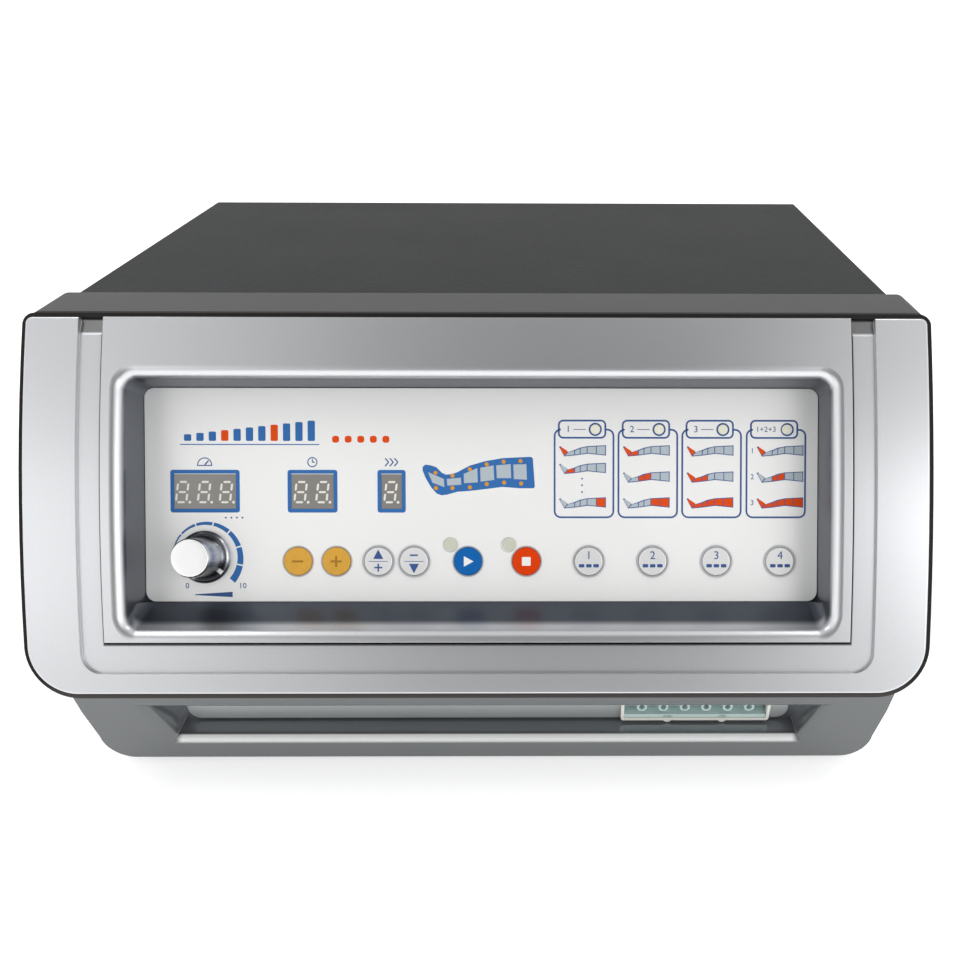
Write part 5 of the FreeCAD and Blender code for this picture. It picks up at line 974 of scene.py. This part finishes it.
def makeKnob():
    skirt = spinPiece("knob_skirt", knob["skirt"], "knob_chrome")
    spinPiece("knob_wall", knob["wall"], "knob_chrome")
    spinPiece("knob_top", knob["top"], "knob_silver")
    shape = bmesh.new()
    bmesh.ops.create_grid(shape, x_segments=3, y_segments=2, size=0.5)
    bmesh.ops.transform(shape, matrix=Matrix.Diagonal((*knob["pointerSize"], 1, 1)), verts=shape.verts)
    raiseFaces(shape, list(shape.faces), knob["pointerTall"])
    halfway = knob["pointerTall"] / 2
    rims = [edge for edge in shape.edges if all(vertex.co.z > halfway for vertex in edge.verts)
            and len({face.normal.z > 0.5 for face in edge.link_faces}) == 2]
    bmesh.ops.bevel(shape, geom=rims, offset=knob["pointerRound"], offset_type="OFFSET", affect="EDGES",
                    segments=3, profile=0.5, material=-1)
    turn = Matrix.Rotation(math.radians(knob["pointerTurn"]), 4, "Z")
    place = knobPlace() @ turn @ Matrix.Translation(knob["pointerAt"])
    pointer = takePiece("knob_pointer", shape, "knob_silver", "pressure_knob", place)
    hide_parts("pressure_knob")


def aimChrome():
    # the painted reflection bands go round the knob's own axis
    tree = materials["knob_chrome"].node_tree
    tint = next(node for node in tree.nodes if node.type == "GROUP" and node.node_tree == shades["chrome"])
    tint.inputs["Side"].default_value = (1, 0, 0)
    tint.inputs["Up"].default_value = faceUp
    tint.inputs["Middle"].default_value = knobPlace().translation


makeKnob()
aimChrome()
print("knob made")

studio = {
    "floorSize": 60.0, "floorGlow": 0.5,
    "sky": 1.05, "gap": 0.06,            # brightness of the tent, and of the gap in its front
    "gapLeft": (0.05, 0.62), "gapRight": (0.2, 0.41),    # where the gap fades out on either side
    "gapFront": (-0.5, -0.2), "gapLow": (-0.05, 0.08),   # and where it meets the sides and the floor
    "crown": 0.35, "crownRise": (0.5, 0.95),     # how much the tent dims overhead, and where
    "aim": (0, 0, 0.1),
    "lamps": (
        # name, place, size, watts
        ("overLeft", (-0.80, 0.05, 1.5), (1.0, 0.14), 2.6),
        ("overRight", (0.70, 0.05, 1.5), (0.8, 0.14), 2.0),
        ("frontLeft", (-1.1, -1.2, 0.75), (0.7, 0.7), 0.8),
        ("frontRight", (1.1, -1.1, 0.70), (0.7, 0.7), 3.2),
    ),
}


def lightSky(tree):
    # a soft white tent with a dimmer gap in front, where the viewer stands
    shell = tree.nodes.new("ShaderNodeTexCoord")
    parts = tree.nodes.new("ShaderNodeSeparateXYZ")
    tree.links.new(shell.outputs["Generated"], parts.inputs[0])
    left = ramp(tree, times(tree, parts.outputs["X"], -1.0), *studio["gapLeft"])
    side = larger(tree, left, ramp(tree, parts.outputs["X"], *studio["gapRight"]))
    front = ramp(tree, parts.outputs["Y"], *studio["gapFront"])
    low = oneMinus(tree, ramp(tree, parts.outputs["Z"], *studio["gapLow"]))
    tent = larger(tree, larger(tree, side, front), low)
    bright = mathNode(tree, "ADD", times(tree, tent, studio["sky"] - studio["gap"]), studio["gap"])
    crown = times(tree, ramp(tree, parts.outputs["Z"], *studio["crownRise"]), studio["crown"])
    strength = times(tree, bright, oneMinus(tree, crown))
    plain = tree.nodes.new("ShaderNodeLightPath").outputs["Is Camera Ray"]      # the backdrop stays white
    tree.links.new(larger(tree, strength, plain), tree.nodes["Background"].inputs["Strength"])
    tree.nodes["Background"].inputs["Color"].default_value = (1, 1, 1, 1)


def makeStudio():
    floorShape = bmesh.new()
    bmesh.ops.create_grid(floorShape, x_segments=2, y_segments=2, size=studio["floorSize"] / 2)
    mesh = bpy.data.meshes.new("studio_floor")
    floorShape.to_mesh(mesh)
    floorShape.free()
    floor = bpy.data.objects.new("studio_floor", mesh)
    scene.collection.objects.link(floor)
    paper = finishMaterial("floorPaper", (0.99, 0.99, 0.99), roughness=0.9, speckle=0.005, cloud=0.005,
                           softEdge=0)
    shader = paper.node_tree.nodes["Principled BSDF"]
    shader.inputs["Emission Color"].default_value = (1, 1, 1, 1)
    shader.inputs["Emission Strength"].default_value = studio["floorGlow"]
    mesh.materials.append(paper)
    world = bpy.data.worlds.new("studioWorld")
    world.use_nodes = True
    lightSky(world.node_tree)
    scene.world = world
    for name, place, size, power in studio["lamps"]:
        data = bpy.data.lights.new(name, "AREA")
        data.shape = "RECTANGLE"
        data.size, data.size_y = size
        data.energy = power
        lamp = bpy.data.objects.new(name, data)
        scene.collection.objects.link(lamp)
        lamp.location = place
        lamp.rotation_mode = "QUATERNION"
        lamp.rotation_quaternion = (Vector(studio["aim"]) - Vector(place)).to_track_quat("-Z", "Y")
    scene.view_settings.view_transform = "Standard"


makeStudio()
print("studio lit")
